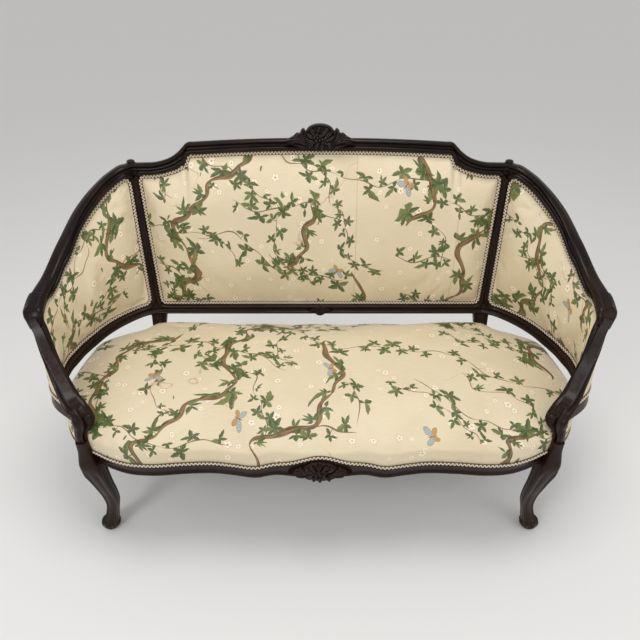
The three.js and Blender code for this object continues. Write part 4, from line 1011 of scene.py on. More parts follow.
def flowerRelief(x, z, centre, radius, petals, depth, turn=0.0):
    # Petals from a rippled radius, each hollow in its middle, round a domed eye.
    dx, dz = x - centre[0], z - centre[1]
    r, angle = np.hypot(dx, dz) / radius, np.arctan2(dz, dx) - turn
    ripple = np.abs(np.cos(angle * petals / 2))
    reach = 0.74 + 0.26 * ripple**0.6
    petal = np.sqrt(np.clip(1 - (r / reach) ** 4, 0, 1)) * (0.45 + 0.55 * ripple**0.5) * smooth(0.18, 0.5, r)
    return depth * np.maximum(petal * (0.7 + 0.3 * r), 0.95 * np.sqrt(np.clip(1 - (r / 0.27) ** 2, 0, 1)))


def carvedRelief(carving, motifs, place):
    # A carved block between two outlines over x: a ground that domes up from its edges, with the highest
    # of its motifs added on top at each point.
    top, bottom = np.array(carving["top"], float), np.array(carving["bottom"], float)
    columns, rows = carving["grid"]
    reach = top[-1, 0]
    x = np.linspace(-reach, reach, columns)[None, :] * np.ones((rows, 1))
    high, low = np.interp(np.abs(x), top[:, 0], top[:, 1]), np.interp(np.abs(x), bottom[:, 0], bottom[:, 1])
    v = np.linspace(0, 1, rows)[:, None]
    z = mix(low, high, v - 0.07 * np.sin(2 * np.pi * v))
    edge = np.minimum(np.minimum(high - z, z - low), (reach - np.abs(x)) * 0.5)
    ground = carving["ground"] * np.sqrt(1 - np.clip(1 - edge / 7, 0, 1) ** 2)
    ripe = np.max(np.array([make(x, z) for make in motifs]), axis=0)
    height = ground + ripe * smooth(-0.3, 3, edge) * carving["relief"]
    return pillow(place(x, z, height), place(x, z, np.full(x.shape, -float(carving["back"]))))


def pillow(front, back):
    # Two grids of the same size as one closed body, joined round their edges.
    rows, columns = front.shape[:2]
    count = rows * columns
    index = np.arange(count).reshape(rows, columns)
    edge = np.concatenate([index[0, :-1], index[:-1, -1], index[-1, :0:-1], index[:0:-1, 0]])
    after = np.roll(edge, -1)
    quads = np.vstack([gridFaces(rows, columns), gridFaces(rows, columns)[:, ::-1] + count,
                       np.stack([edge, edge + count, after + count, after], -1)])
    points = np.concatenate([front.reshape(-1, 3), back.reshape(-1, 3)])
    if volumeOf(points, quads) < 0:
        quads = quads[:, ::-1]
    return {"points": points, "quads": quads, "tris": np.zeros((0, 3), int)}


def onBackFace(carving):
    # For a carving on the back: a place over the face from x and z, standing proud of it. The carving's
    # reach is the x that a whole u takes there.
    def place(x, z, proud):
        h = (z - lowerRailHeight) / (crestHeight - lowerRailHeight)
        return layer(backFace, x / carving["reach"], h, carving["proud"] + proud)

    return place


frontPlan = planAt(np.linspace(-4, 4, 200), 0.0)


def onFrontRail(x, z, proud):
    return np.stack([x, np.interp(x, frontPlan[:, 0], frontPlan[:, 1]) - proud - 0.5, z], -1)


def leaves(table, mirrored=True):
    # Leaf motifs from rows of spine, half width, height and teeth, with their reflections.
    made = []
    for spine, half, depth, teeth in table:
        for side in (1, -1) if mirrored else (1,):
            turned = [(side * x, z) for x, z in spine]
            made.append(lambda x, z, a=turned, b=half, c=depth, d=teeth: leafRelief(x, z, a, b, c, d))
    return made


crestCarving = {
    "top": [[0, 994], [12, 993.2], [24, 989.8], [33, 984.4], [38.5, 978], [41, 973.6], [43, 977.6],
    [45.6, 980.8], [48.6, 981.6], [52, 979.8], [55, 975.6], [57.4, 969.4], [60, 968.4], [63, 969.4],
    [66.6, 969.8], [70, 967.6], [74, 963.4], [81, 959.4], [89, 955.4], [97, 951], [104, 947.5]],
    "bottom": [[0, 922.5], [16, 922.8], [32, 924], [48, 926.4], [62, 930], [76, 935], [90, 941], [104, 947]],
    "ground": 5.5, "relief": 1.35, "grid": (300, 84), "back": 26, "reach": 12 * 0.14 * earHalf, "proud": 15.5}
crestMotifs = leaves([
    ([(-8, 962), (-5, 976), (0, 988)], 6.5, 5.5, 3), ([(-14, 962), (-22, 973), (-27, 981)], 7, 5.5, 4),
    ([(4, 962), (15, 972), (22, 983)], 7.5, 6, 4), ([(14, 958), (26, 965), (34, 973)], 6.5, 5.5, 4),
    ([(-18, 956), (-29, 961), (-36, 969)], 6.5, 5, 4), ([(22, 950), (32, 954), (40, 962)], 6, 5, 3),
    ([(-20, 948), (-32, 948), (-40, 956)], 6, 5, 3),
    ([(-16, 946), (-26, 938), (-31, 928)], 7, 5, 4), ([(-4, 944), (-10, 934), (-12, 925)], 6.5, 5, 3),
    ([(8, 940), (6, 932), (8, 925)], 6, 5, 3), ([(20, 942), (28, 936), (30, 928)], 7, 5.5, 4),
], mirrored=False)
crestMotifs += leaves([
    ([(40, 946), (51, 960), (48, 979)], 7, 6, 4), ([(46, 948), (62, 957), (66, 968)], 6, 5.5, 3),
    ([(42, 940), (62, 948), (82, 949), (103, 947)], 8, 6, 8), ([(42, 931), (58, 933), (78, 939)], 5.5, 5, 5),
    ([(56, 952), (72, 958), (84, 957)], 4.5, 4.5, 4),
])


def crestBand(x, z):
    # A raised half ring round the flowers.
    off = ((x * 0.87) ** 2 + (z - 957) ** 2) ** 0.5 - 34.4
    return 4.2 * np.sqrt(np.clip(1 - off**2 / 6, 0, 1)) * smooth(960, 972, z) * (np.abs(x) < 39)


crestMotifs += [lambda x, z: flowerRelief(x, z, (-7, 956), 14, 5, 7.5, 0.5),
                lambda x, z: flowerRelief(x, z, (13, 948), 12, 5, 7, 1.3), crestBand]
crestShell = carvedRelief(crestCarving, crestMotifs, onBackFace(crestCarving))
# The carving's painted highlights on its edges and painted shade in its hollows are made stronger here.
makeWood("crest_carving_spray", [crestShell], ["crest_carving"], 60, 4.5)

frontCarving = {
    "top": [[0, 345], [10, 344], [22, 340.4], [32, 335], [39, 328], [43, 322], [46, 324.6], [50, 325.4],
    [54, 322.6], [57, 318], [62, 316.6], [67, 312.6], [73, 307.6], [80, 303]],
    "bottom": [[0, 273], [8, 273.6], [16, 276], [20, 279.4], [24, 277.2], [29, 277.6], [34, 281.4],
    [38, 287], [46, 290.4], [56, 292.6], [64, 296], [72, 299.6], [80, 302.6]],
    "ground": 4.5, "relief": 1.4, "grid": (240, 80), "back": 12}
frontMotifs = leaves([
    ([(-4, 320), (-2, 332), (0, 343)], 6.5, 5.5, 3), ([(6, 320), (16, 330), (20, 339)], 7, 5.5, 4),
    ([(-12, 318), (-20, 328), (-25, 336)], 6.5, 5.5, 4), ([(-18, 312), (-30, 318), (-37, 325)], 6.5, 5.5, 4),
    ([(18, 316), (28, 322), (36, 327)], 6, 5.5, 4), ([(-18, 304), (-28, 300), (-36, 291)], 7, 5.5, 4),
    ([(-8, 300), (-14, 288), (-18, 279)], 6.5, 5.5, 4), ([(2, 298), (0, 286), (0, 275)], 6.5, 5.5, 4),
    ([(14, 298), (20, 290), (26, 280)], 6.5, 5.5, 4), ([(20, 304), (32, 300), (38, 292)], 6.5, 5.5, 4),
], mirrored=False)
frontMotifs += leaves([
    ([(30, 308), (44, 316), (50, 324)], 5.5, 5, 4), ([(34, 306), (50, 308), (64, 306),
    (79, 302.8)], 7, 5.5, 7), ([(34, 298), (48, 296), (62, 298)], 5, 4.5, 4),
])
frontMotifs += [lambda x, z: flowerRelief(x, z, (6, 310), 13, 5, 7, 0.2),
                lambda x, z: flowerRelief(x, z, (-10, 309), 11, 5, 6.5, 0.9)]
frontShell = carvedRelief(frontCarving, frontMotifs, onFrontRail)
# The carving's painted highlights on its edges and painted shade in its hollows are made stronger here.
makeWood("front_carving_spray", [frontShell], ["front_rail_carving"], 60, 2.5)

backCarving = {
    "top": [[0, 449], [7, 447.5], [12, 443], [15, 437], [19, 434.5], [26, 431.5]],
    "bottom": [[0, 409], [5, 411], [9, 416], [13, 420.5], [19, 424.5], [26, 428.5]],
    "ground": 4, "relief": 1.1, "grid": (120, 60), "back": 8, "reach": postHalf, "proud": 10}
backMotifs = leaves([
    ([(0, 426), (0, 438), (0, 448)], 5, 4.5, 3), ([(0, 432), (0, 420), (0, 410)], 5.5, 4.5, 3),
], mirrored=False)
backMotifs += leaves([
    ([(3, 430), (14, 431), (25, 430)], 4.5, 4, 4), ([(3, 434), (9, 439), (10, 445)], 4, 4, 3),
    ([(3, 426), (10, 422), (12, 417)], 4, 4, 3)])
railShell = carvedRelief(backCarving, backMotifs, onBackFace(backCarving))
makeWood("lower_rail_carving_spray", [railShell], (), 60)
print("settee: carving")

# ---- the printed cloth
cloth = {
    "ground": "e7d8b8", "groundShade": "d8c49f", "stainAndSeamShade": "b98a62", "twig": "7b6140",
    "bark": "5f3f20", "barkDark": "321f10", "barkLight": "94703c", "leaf": "5b6f2b", "leafDark": "3b4f1b",
    "leafPale": "869048", "vein": "324420", "petal": "f9efd6", "petalEdge": "cf9a70", "rust": "9a4a2c",
    "blue": "8f9c9f", "ochre": "bf9350",
}
# The seams' places are metres to the right of the back's middle.
clothFinish = {"roughness": 0.55, "sheen": 0.07, "thread": 3300, "seamWidth": 0.0022,
               "seams": {"outerSeam": 0.414, "innerSeam": 0.109}}


def leafSpray(tree, ahead, aside, radius, random, leaves):
    # A cluster of pointed leaves about a point: the circle is shared out in equal sectors, each with one
    # leaf of its own random length. A leaf is a pointed oval with a few teeth.
    reach = (ahead * ahead + aside * aside).op("SQRT")
    sector = (aside.op("ARCTAN2", ahead) * (0.5 / math.pi) + random).op("FRACT") * leaves
    index = sector.op("FLOOR")
    own = hashed(tree, index * 1.7 + random * 91.0)
    angle = (sector - index - 0.5) * (2 * math.pi / leaves) + (own - 0.5) * 0.35
    length = (own * 0.5 + 0.56) * radius
    forward, off = reach * cosine(angle), absolute(reach * sine(angle))
    t = forward / length
    profile = t.op("MAXIMUM", 0.0).op("POWER", 0.75) * (1.0 - t).op("MAXIMUM", 0.0) * 2.3
    teeth = sine(t * 19.0 + own * 9.0) * 0.1 + 0.95
    width = profile * length * 0.35 * teeth
    shape = (width - off).between(0.0, 0.0007) * own.between(0.12, 0.1201)
    side = (reach * sine(angle)).between(-0.0012, 0.0012)
    rib = off.between(0.0007, 0.0002) * t.between(0.95, 0.7)
    veins = sine((forward - off * 0.9) * 1500.0).between(0.5, 0.95) * 0.35
    return {"shape": shape, "side": side, "vein": rib.op("MAXIMUM", veins), "random": own}


def vine(tree, x, y, f):
    # A stem that sways along x in rows, broken off at random, with a spray of leaves set by turns on its
    # two sides, each on a short stalk.
    row = (y / f["rows"]).op("FLOOR")
    local = y - (row + 0.5) * f["rows"]
    start = hashed(tree, row + f["seed"]) * 6.0
    total, slope = None, None
    for size, speed, offset in ((1.0, 1.0, 1.0), (0.4, 2.3, 2.7), (0.16, 5.1, 4.3)):
        phase = x * (f["wave"] * speed) + start * offset
        term = sine(phase) * (f["swing"] * size)
        rate = cosine(phase) * (f["swing"] * size * f["wave"] * speed)
        total, slope = (term, rate) if total is None else (total + term, slope + rate)
    long = slope * slope + 1.0
    across = (local - total) / long.op("SQRT")
    along = x + (local - total) * slope / long
    away = absolute(across)

    def present(stretch):
        piece = hashed(tree, stretch.op("FLOOR") + row * 13.0 + f["seed"])
        return piece.between(f["bare"], f["bare"] + 0.0001)

    stretch = along / f["stretch"] + row * 0.37
    knots = sine(along * 95.0 + start) * 0.16 + sine(along * 41.0 + start * 3.0) * 0.2 + 1.0
    taper = (absolute(stretch.op("FRACT") - 0.5) * 2.0).op("POWER", 4.0) * -0.8 + 1.1
    half = knots * taper * f["stem"]
    side = across.op("SIGN")
    place = along / f["pitch"] + side * 0.25
    index = place.op("FLOOR")
    random = hashed(tree, index * 2.0 + side * 0.5 + row * 7.31 + f["seed"])
    second = hashed(tree, index * 3.0 + side * 0.7 + row * 3.17 + f["seed"] + 41.0)
    a, b = (place - index - 0.5) * f["pitch"], away - f["offset"]
    spray = leafSpray(tree, b, a, (second * 0.3 + 0.75) * f["leaf"], random, f["leaves"])
    # a spray is judged where it springs, so that none is cut off at the end of a stem
    middle = (index + 0.5 - side * 0.25) * f["pitch"] / f["stretch"] + row * 0.37
    shown = second.between(0.24, 0.2401) * present(middle)
    stalk = absolute(a + sine(away * 160.0) * 0.001).between(0.0011, 0.0006)
    stalk = stalk * away.between(f["offset"], f["offset"] - 0.002)
    return {"stem": (half - away).between(0.0, 0.0006) * present(stretch), "stalk": stalk * shown,
            "leaf": spray["shape"] * shown, "side": spray["side"], "vein": spray["vein"],
            "random": spray["random"], "shade": (across / f["stem"]).between(0.1, 0.75),
            "rim": (half - away).between(0.0016, 0.0004), "along": along, "across": across}


def scattered(tree, x, y, size, chance, seed):
    # One point at most in each square of a jittered grid: x and y from it, two random numbers, and
    # whether the point is there.
    cellX, cellY = (x / size).op("FLOOR"), (y / size).op("FLOOR")
    one = hashed(tree, cellX + seed, cellY + seed * 0.37)
    two = hashed(tree, cellX + seed + 9.1, cellY + 3.3)
    dx = x - (cellX + 0.3 + one * 0.4) * size
    dy = y - (cellY + 0.3 + two * 0.4) * size
    return dx, dy, (one, two), one.between(chance, chance - 0.01)


def blossoms(tree, x, y, size, chance, seed, radius):
    # Small round flowers: petals from a ripple round the centre.
    dx, dy, random, shown = scattered(tree, x, y, size, chance, seed)
    reach, angle = (dx * dx + dy * dy).op("SQRT"), dy.op("ARCTAN2", dx)
    ripple = absolute(cosine(angle * 2.5 + random[0] * 6.0))
    edge = (random[1] * 0.35 + 0.75) * radius * (ripple * 0.35 + 0.65)
    ring = reach / edge
    return {"shape": (edge - reach).between(0.0, 0.0006) * shown, "eye": ring.between(0.26, 0.18),
            "line": ring.between(0.72, 0.92), "fold": ripple.between(0.4, 0.1) * ring.between(0.2, 0.6)}


def moths(tree, x, y, size, chance, seed, scale):
    # Moths: two pairs of oval wings that mirror each other over a slim body.
    dx, dy, random, shown = scattered(tree, x, y, size, chance, seed)
    turn = random[0] * 6.28
    down, up = cosine(turn), sine(turn)
    a = absolute(dx * down + dy * up) / scale
    b = (dy * down - dx * up) / scale

    def oval(ca, cb, ra, rb, lean):
        c, s = math.cos(lean), math.sin(lean)
        p, q = ((a - ca) * c + (b - cb) * s) / ra, ((b - cb) * c - (a - ca) * s) / rb
        return (p * p + q * q).op("SQRT")

    fore, hind = oval(0.55, 0.3, 0.55, 0.3, 0.5), oval(0.4, -0.28, 0.38, 0.26, -0.7)
    wings = fore.op("MINIMUM", hind)
    return {"shape": wings.between(1.0, 0.96) * shown, "hind": (fore - hind).between(-0.05, 0.05),
            "spots": sine(fore * 16.0).between(0.2, 0.8), "rim": wings.between(0.82, 0.94),
            "body": oval(0, 0, 0.07, 0.5, 0).between(1.0, 0.9) * shown}


# The first vine is the boughs, the others twigs.
vines = (
    {"angle": 1.1, "shift": 0.11, "rows": 0.27, "wave": 15.0, "swing": 0.05, "stem": 0.0066, "stretch": 0.21,
     "bare": 0.2, "pitch": 0.072, "leaf": 0.033, "offset": 0.017, "leaves": 6, "seed": 3.0},
    {"angle": -0.3, "shift": 0.05, "rows": 0.155, "wave": 12.0, "swing": 0.03, "stem": 0.0016,
     "stretch": 0.17, "bare": 0.22, "pitch": 0.058, "leaf": 0.029, "offset": 0.014, "leaves": 5,
     "seed": 11.0},
    {"angle": 2.2, "shift": 0.17, "rows": 0.18, "wave": 16.0, "swing": 0.035, "stem": 0.0013, "stretch": 0.13,
     "bare": 0.3, "pitch": 0.05, "leaf": 0.025, "offset": 0.011, "leaves": 5, "seed": 23.0},
)


def makePrint():
    f, ink = clothFinish, {key: colour(text) for key, text in cloth.items()}
    material, tree, shader = startMaterial("printed_cotton", f["roughness"], Sheen_Weight=f["sheen"],
                                           Sheen_Roughness=0.4)
    uv = coordinates(tree, "UV")
    across, along = parted(tree, uv)[:2]
    x = across + (noise(tree, uv, 5.5, 2, 0.4) - 0.5) * 0.045
    y = along + (noise(tree, stretched(tree, uv, turn=1.3), 6, 2, 0.4) - 0.5) * 0.045
    slub = noise(tree, stretched(tree, uv, (30, 700, 1)), 1, 2)
    aged = noise(tree, uv, 5, 3, 0.5)
    yellowed = slub.between(0.35, 0.75) * 0.35 + aged.between(0.4, 0.75) * 0.4
    base = layered(tree, ink["ground"], (yellowed, ink["groundShade"]))

    def turned(angle, dx=0.0, dy=0.0):
        c, s = math.cos(angle), math.sin(angle)
        return x * c + y * s + dx, y * c - x * s + dy

    for size, chance, seed, radius in ((0.047, 0.3, 5.0, 0.0095), (0.06, 0.34, 31.0, 0.0125)):
        b = blossoms(tree, *turned(0.5 + seed, seed * 0.013, seed * 0.017), size, chance, seed, radius)
        petals = layered(tree, ink["petal"], (b["line"] * 0.7 + b["fold"] * 0.3, ink["petalEdge"]),
                         (b["eye"], ink["ochre"]))
        base = layered(tree, base, (b["shape"] * 0.9, petals))
    for style in reversed(vines):
        v = vine(tree, *turned(style["angle"], 0.0, style["shift"]), style)
        bark = noise(tree, joined(tree, v["along"] * 35.0, v["across"] * 420.0), 1, 3, 0.6, "2D")
        wood = layered(
            tree, ink["barkLight"], (bark.between(0.42, 0.62), ink["bark"]),
            (bark.between(0.56, 0.7) * 0.8, ink["barkDark"]), (v["shade"] * 0.55, ink["barkDark"]),
            (v["rim"] * 0.75, ink["barkDark"]))
        leaf = layered(
            tree, ink["leafDark"], (v["side"] * 0.75, ink["leaf"]),
            (v["random"].between(0.7, 0.95) * 0.5, ink["leafPale"]), (v["vein"] * 0.6, ink["vein"]))
        stem = wood if style is vines[0] else ink["twig"]
        base = layered(tree, base, (v["stalk"] * 0.85, ink["twig"]), (v["stem"] * 0.94, stem),
                       (v["leaf"] * 0.94, leaf))
    m = moths(tree, *turned(0.9, 0.04, 0.09), 0.33, 0.62, 71.0, 0.026)
    hindWings = layered(tree, ink["ochre"], (m["spots"] * 0.3, ink["rust"]))
    wings = layered(tree, ink["blue"], (m["spots"] * 0.5, ink["petal"]), (m["hind"], hindWings),
                    (m["rim"] * 0.6, ink["barkDark"]))
    tide = absolute(noise(tree, stretched(tree, uv, turn=0.6), 4.2, 3, 0.5) - 0.53).between(0.007, 0.001)
    patch = noise(tree, stretched(tree, uv, turn=2.1), 3.1, 1, 0.5).between(0.55, 0.66)
    # a darker line along each seam: painted shade in the seam's groove, besides the dip it makes in the bump;
    # the same colour serves for real tide stains
    seams = [absolute(attribute(tree, key) - 1.0) for key in f["seams"]]
    seam = seams[0].op("MINIMUM", seams[1]).between(f["seamWidth"], 0.0004)
    base = layered(tree, base, (m["shape"] * 0.92, wings), (m["body"] * 0.9, ink["rust"]),
                   (tide * patch * 0.5, ink["stainAndSeamShade"]), (seam * 0.35, ink["stainAndSeamShade"]))
    weave = sine(across * f["thread"]) * sine(along * f["thread"])
    crease = noise(tree, uv, 12, 3, 0.5)
    dress(tree, shader, base, weave * 0.03 + slub * 0.07 + crease * 0.8 - seam * 0.5, 0.0016, 0.5,
          slub * 0.14 + (f["roughness"] - 0.07))
    return material


def makeGimpBraid():
    # Cream cord over a brown and olive ground, by how high each point of the braid stands: the dark ground
    # between the cords is partly the braid's own brown thread and partly painted shade.
    material, tree, shader = startMaterial("braided_gimp", 0.85, Sheen_Weight=0.2)
    cord, place = attribute(tree, "cord"), coordinates(tree)
    thread, patchy = noise(tree, place, 900, 2), noise(tree, place, 40, 3)
    cream = layered(tree, colour("cbb99f"), (thread, colour("efe4d0")))
    # dark where the braid is low: painted shade between the cords, over its own brown thread
    base = layered(tree, colour("54402f"), (patchy.between(0.45, 0.6), colour("6a5f3f")),
                   (cord.between(0.1, 0.3) * 0.7, colour("82704f")), (cord.between(0.36, 0.52), cream))
    dress(tree, shader, base, thread, 0.0004, 0.7)
    return material


printedCotton, gimpBraid = makePrint(), makeGimpBraid()
print("settee: printed cloth and gimp ready")

# ---- upholstery
bulge = {"start": 12.5, "shoulder": 62, "lap": 10, "power": 2.6}


def panelGrid(panel, out, grid):
    # Even rows and columns over a panel, closer together by its edges, with its corners rounded: u and h,
    # and the distances from its side and end edges, before the corners are rounded.
    eased = [t - 0.06 * np.sin(2 * np.pi * t) for t in (np.linspace(0, 1, count) for count in grid)]
    a, b = np.meshgrid(eased[1], eased[0])
    width, high = panelSize(panel, out)
    side, end = np.minimum(a, 1 - a) * width, np.minimum(b, 1 - b) * high
    u, h = panelPlace(panel, *roundCorners(panel, a, b, out), out)
    return u, h, side, end


def crownOf(side, end):
    # 0 under the gimp, rising in a rounded shoulder beside it and levelling off towards the middle.
    def rise(distance):
        share = np.clip((distance - bulge["start"]) / bulge["shoulder"], 0, 1)
        return 1 - (1 - share) ** bulge["power"]

    return rise(side) * rise(end)


def slackOf(side, end, far=150):
    return smooth(0, far, side) * smooth(0, far, end)


def clothPlace(panel, u, h, offset, turn=1):
    # The cloth's own plan in metres, for both faces of a piece: the length walked along the middle of the
    # face, and the height.
    face = panel["face"]
    flat = np.stack([turn * np.interp(u, *middleWalk(face)), face(u, h)[..., 2] - lowerRailHeight], -1)
    return np.tile(flat.reshape(-1, 2) * 0.001 + offset, (2, 1))


def panelPad(panel, offset):
    # The crown is a shoulder round the edge and a slow swell over the whole; the back of the pad sits on
    # the hessian inside the rails.
    u, h, side, end = panelGrid(panel, bulge["lap"], panel["pad"])
    crown = panel["crown"] * (0.62 * crownOf(side, end) + 0.38 * slackOf(side, end))
    front = layer(panel["face"], u, h, coverFront + crown)
    held = np.minimum(side, end)[::2, ::2] < bulge["start"]
    front = front + resample(stuffed(front[::2, ::2], held), *panel["pad"])
    back = layer(panel["face"], u, h, 3.2 - 8.9 * smooth(14, 22, np.minimum(side, end)))
    return {**pillow(front, back), "uv": clothPlace(panel, u, h, offset)}


def outsideCover(panel, offset):
    # A thin sheet stretched over the back of the frame, drawn out a little over its middle.
    u, h, side, end = panelGrid(panel, bulge["lap"], panel["cover"])
    swell = 7 * slackOf(side - 11, end - 11)
    outer, inner = (layer(panel["face"], u, h, proud - swell) for proud in (coverOutside, coverOutside + 2))
    return {**pillow(outer, inner), "uv": clothPlace(panel, u, h, offset, -1)}


# The pressure that blows the trial cloth up, its frames, the most that it may swell in millimetres, and
# the share by which it is cut longer than its surface.
stuffing = {"pressure": 4.0, "frames": 20, "swell": 9, "loose": 0.006}


def resample(values, rows, columns):
    # A grid of values at other numbers of rows and columns, by straight lines between neighbours.
    for axis, count in ((0, rows), (1, columns)):
        place = np.linspace(0, values.shape[axis] - 1, count)
        i = np.minimum(place.astype(int), values.shape[axis] - 2)
        w = np.expand_dims(place - i, (1, 2) if axis == 0 else (0, 2))
        values = np.take(values, i, axis) * (1 - w) + np.take(values, i + 1, axis) * w
    return values


def stuffed(points, held, closed=False):
    # Blows a cloth up from behind, held where it is tacked, and gives how far each point has moved. The
    # move is eased off towards the most that the stuffing may swell.
    flat = points.reshape(-1, 3)
    quads = gridFaces(*points.shape[:2], False, closed)
    corner = flat[quads[:, 0]]
    turn = np.cross(flat[quads[:, 1]] - corner, flat[quads[:, 2]] - corner).sum(0)
    if (turn[2] if closed else -turn[1]) < 0:
        quads = quads[:, ::-1]
    mesh = bpy.data.meshes.new("stuffing_trial")
    mesh.from_pydata((flat * 0.001).tolist(), [], quads.tolist())
    trial = bpy.data.objects.new("stuffing_trial", mesh)
    scene.collection.objects.link(trial)
    tacked = trial.vertex_groups.new(name="tacked")
    tacked.add(np.flatnonzero(held.ravel()).tolist(), 1.0, "REPLACE")
    modifier = trial.modifiers.new("cloth", "CLOTH")
    settings = modifier.settings
    settings.quality, settings.mass = 6, 0.4
    settings.tension_stiffness = settings.compression_stiffness = 60
    settings.shear_stiffness, settings.bending_stiffness = 30, 4
    settings.shrink_min = -stuffing["loose"]
    settings.vertex_group_mass = "tacked"
    settings.use_pressure, settings.uniform_pressure_force = True, stuffing["pressure"]
    settings.effector_weights.gravity = 0
    modifier.collision_settings.use_collision = False
    modifier.point_cache.frame_start, modifier.point_cache.frame_end = 1, stuffing["frames"]
    for frame in range(1, stuffing["frames"] + 1):
        scene.frame_set(frame)
    evaluated = trial.evaluated_get(bpy.context.evaluated_depsgraph_get())
    moved = np.empty(len(mesh.vertices) * 3)
    evaluated.data.vertices.foreach_get("co", moved)
    bpy.data.objects.remove(trial)
    bpy.data.meshes.remove(mesh)
    scene.frame_set(1)
    offset = moved.reshape(points.shape) * 1000 - points
    length = np.linalg.norm(offset, axis=-1, keepdims=True)
    print("settee: stuffing swelled by up to", round(float(length.max()), 1), "mm")
    return offset * stuffing["swell"] * np.tanh(length / stuffing["swell"]) / np.maximum(length, 1e-6)


def clothPiece(name, shell, nodes):
    return makePiece(name, shell, printedCotton, nodes)


# Each piece's offset picks the stretch of the print that it is cut from. The back's cloth has two upright
# seams: each point keeps its distance from them in metres, plus one.
backShell = panelPad(backPanel, (0.3, 0.1))
for key, place in clothFinish["seams"].items():
    backShell[key] = backShell["points"][:, 0] * 0.001 - place + 1
backPad = clothPiece("back_panel_inside", backShell, ["back_inside_cover", "back_pad", "back_hessian"])
for side, sign, turn in sides:
    piece = clothPiece("wing_panel_inside" + side, turn(panelPad(wingPanel, (0.9 + 0.4 * sign, 0.35))),
                       ["wing_" + part + side for part in ("inside_cover", "pad", "hessian")])
    piece = clothPiece("wing_panel_outside" + side, turn(outsideCover(wingPanel, (2.1 + 0.3 * sign, 0.6))),
                       ["wing_outside_cover" + side])
backCover = clothPiece("back_panel_outside", outsideCover(backPanel, (1.7, 0.2)), ["back_outside_cover"])

seat = {"crown": 42, "rollInset": 25.7, "power": 2.2, "lining": 3.7, "ledge": 366.0}


def ringAt(flat, z):
    # A ring over points of the plan, at one height or at a height for each.
    return np.concatenate([flat, np.broadcast_to(z, (len(flat),))[:, None]], -1)


def drawnIn(rim, share):
    return seatMiddle + (rim - seatMiddle) * share


def seatShell():
    # Rings from the foot of the skirt, up over the rolled edge, then drawn in to the middle: the height
    # over the top falls with a power of the share of the way out.
    steps = np.linspace(0, planSteps, 421)[:-1]
    foot = railBottom + seatRail["face"] + 0.3 + faceRise(steps)
    skirt = ((1.7, 0), (1.7, 0.55), (1.7, 0.85), (1.8, 1))
    roll = ((2.6, 371), (4.4, 376.5), (7.2, 382), (11, 386.8), (15.6, 390.4), (20.6, 392.8), (25.7, 394))
    rings = [ringAt(planAt(steps, inset), mix(foot, seat["ledge"], share)) for inset, share in skirt]
    rings += [ringAt(planAt(steps, inset), z) for inset, z in roll]
    rim = planAt(steps, seat["rollInset"])
    for share in np.concatenate([np.linspace(1, 0.06, 46)[1:], [0.03]]):
        rings.append(ringAt(drawnIn(rim, share), seatRoll + seat["crown"] * (1 - share ** seat["power"])))
    top = np.array(rings[::-1])
    coarse = top[::2, ::3]
    swell = stuffed(coarse, coarse[..., 2] < 372, True)
    swell = np.concatenate([swell, swell[:, :1]], axis=1)
    top = top + resample(swell, len(top), len(steps) + 1)[:, :-1]
    inside = planAt(steps, seat["lining"])
    under = [ringAt(drawnIn(inside, share), seat["ledge"]) for share in (1.0, 0.5, 0.03)]
    rings = np.concatenate([top, [ringAt(inside, foot)], under])
    # the cloth's own plan: the top as it lies, and the skirt folded out flat
    folded = np.arange(len(top)) >= len(top) - len(skirt) - len(roll)
    drop = np.maximum(0, seatRoll - top[..., 2]) * folded[:, None]
    outwards = unit(planAt(steps, -1.0) - planAt(steps, 0.0))
    flat = np.concatenate([top[..., :2] + outwards[None] * drop[..., None] * 0.8, rings[len(top):, :, :2]])
    ends = np.stack([flat[0].mean(0), flat[-1].mean(0)])
    return {**sweep(rings), "uv": np.concatenate([flat.reshape(-1, 2), ends]) * 0.001 + np.array([0.75, 1.4])}


seatPad = clothPiece("seat_upholstered", seatShell(), ["seat_cover", "seat_stuffing", "seat_hessian"])

dust = {"inset": 6.8, "sag": 3, "faces": (281.9, 281.2)}


def dustShell():
    # A flat sheet over the underside, sagging a little in the middle.
    rim = planAt(np.linspace(0, planSteps, 161)[:-1], dust["inset"])
    shares = np.linspace(0.03, 1, 20)
    rings = [ringAt(drawnIn(rim, share), height - dust["sag"] * (1 - share**2))
             for height, order in zip(dust["faces"], (1, -1)) for share in shares[::order]]
    return sweep(np.array(rings))


dustPiece = makePiece("underside_cambric", dustShell(), blackCambric, ["dust_cover"])
print("settee: upholstery")

# ---- gimp
gimp = {"period": 9.8, "perPeriod": 14, "bold": 0.34, "fine": 0.15, "swing": 0.47, "height": 3.4}


def braidSection(phase, width):
    # Across the braid: a bold cord swings from edge to edge along a sine line, over a thinner and darker
    # one that swings against it. Distances are measured square to each cord.
    w = np.linspace(-1, 1, 17)[None, :]
    phase = phase[:, None]
    turn = 2 * np.pi * phase
    steep = gimp["swing"] * width / 2 * 2 * np.pi / gimp["period"] * np.cos(turn)
    square = np.sqrt(1 + steep**2)
    bold = (w - gimp["swing"] * np.sin(turn)) / square / gimp["bold"]
    fine = (w + gimp["swing"] * np.sin(turn)) / square / gimp["fine"]
    ends = np.sqrt(np.clip(1 - w**8, 0, 1))
    bold = np.sqrt(np.clip(1 - bold**2, 0, 1)) * ends
    fine = np.sqrt(np.clip(1 - fine**2, 0, 1)) * ends
    height = 0.7 + gimp["height"] * np.maximum(bold, 0.6 * fine)
    return w * width * 0.5 * np.ones_like(phase), height, np.maximum(bold, 0.35 * fine)


def gimpShell(points, outwards, normal, lengths, closed):
    # points: the braid's middle line; w runs outwards and the height along the normal.
    w, height, cord = braidSection(lengths / gimp["period"], gimpWidth)
    flat = points[:, None] + outwards[:, None] * w[..., None]
    top = flat + normal[:, None] * height[..., None]
    shell = sweep(np.concatenate([flat[:, :1], top, flat[:, -1:]], axis=1), closeAlong=closed)
    values = np.pad(cord, ((0, 0), (1, 1))).ravel()
    shell["cord"] = np.concatenate([values, np.zeros(len(shell["points"]) - len(values))])
    return shell


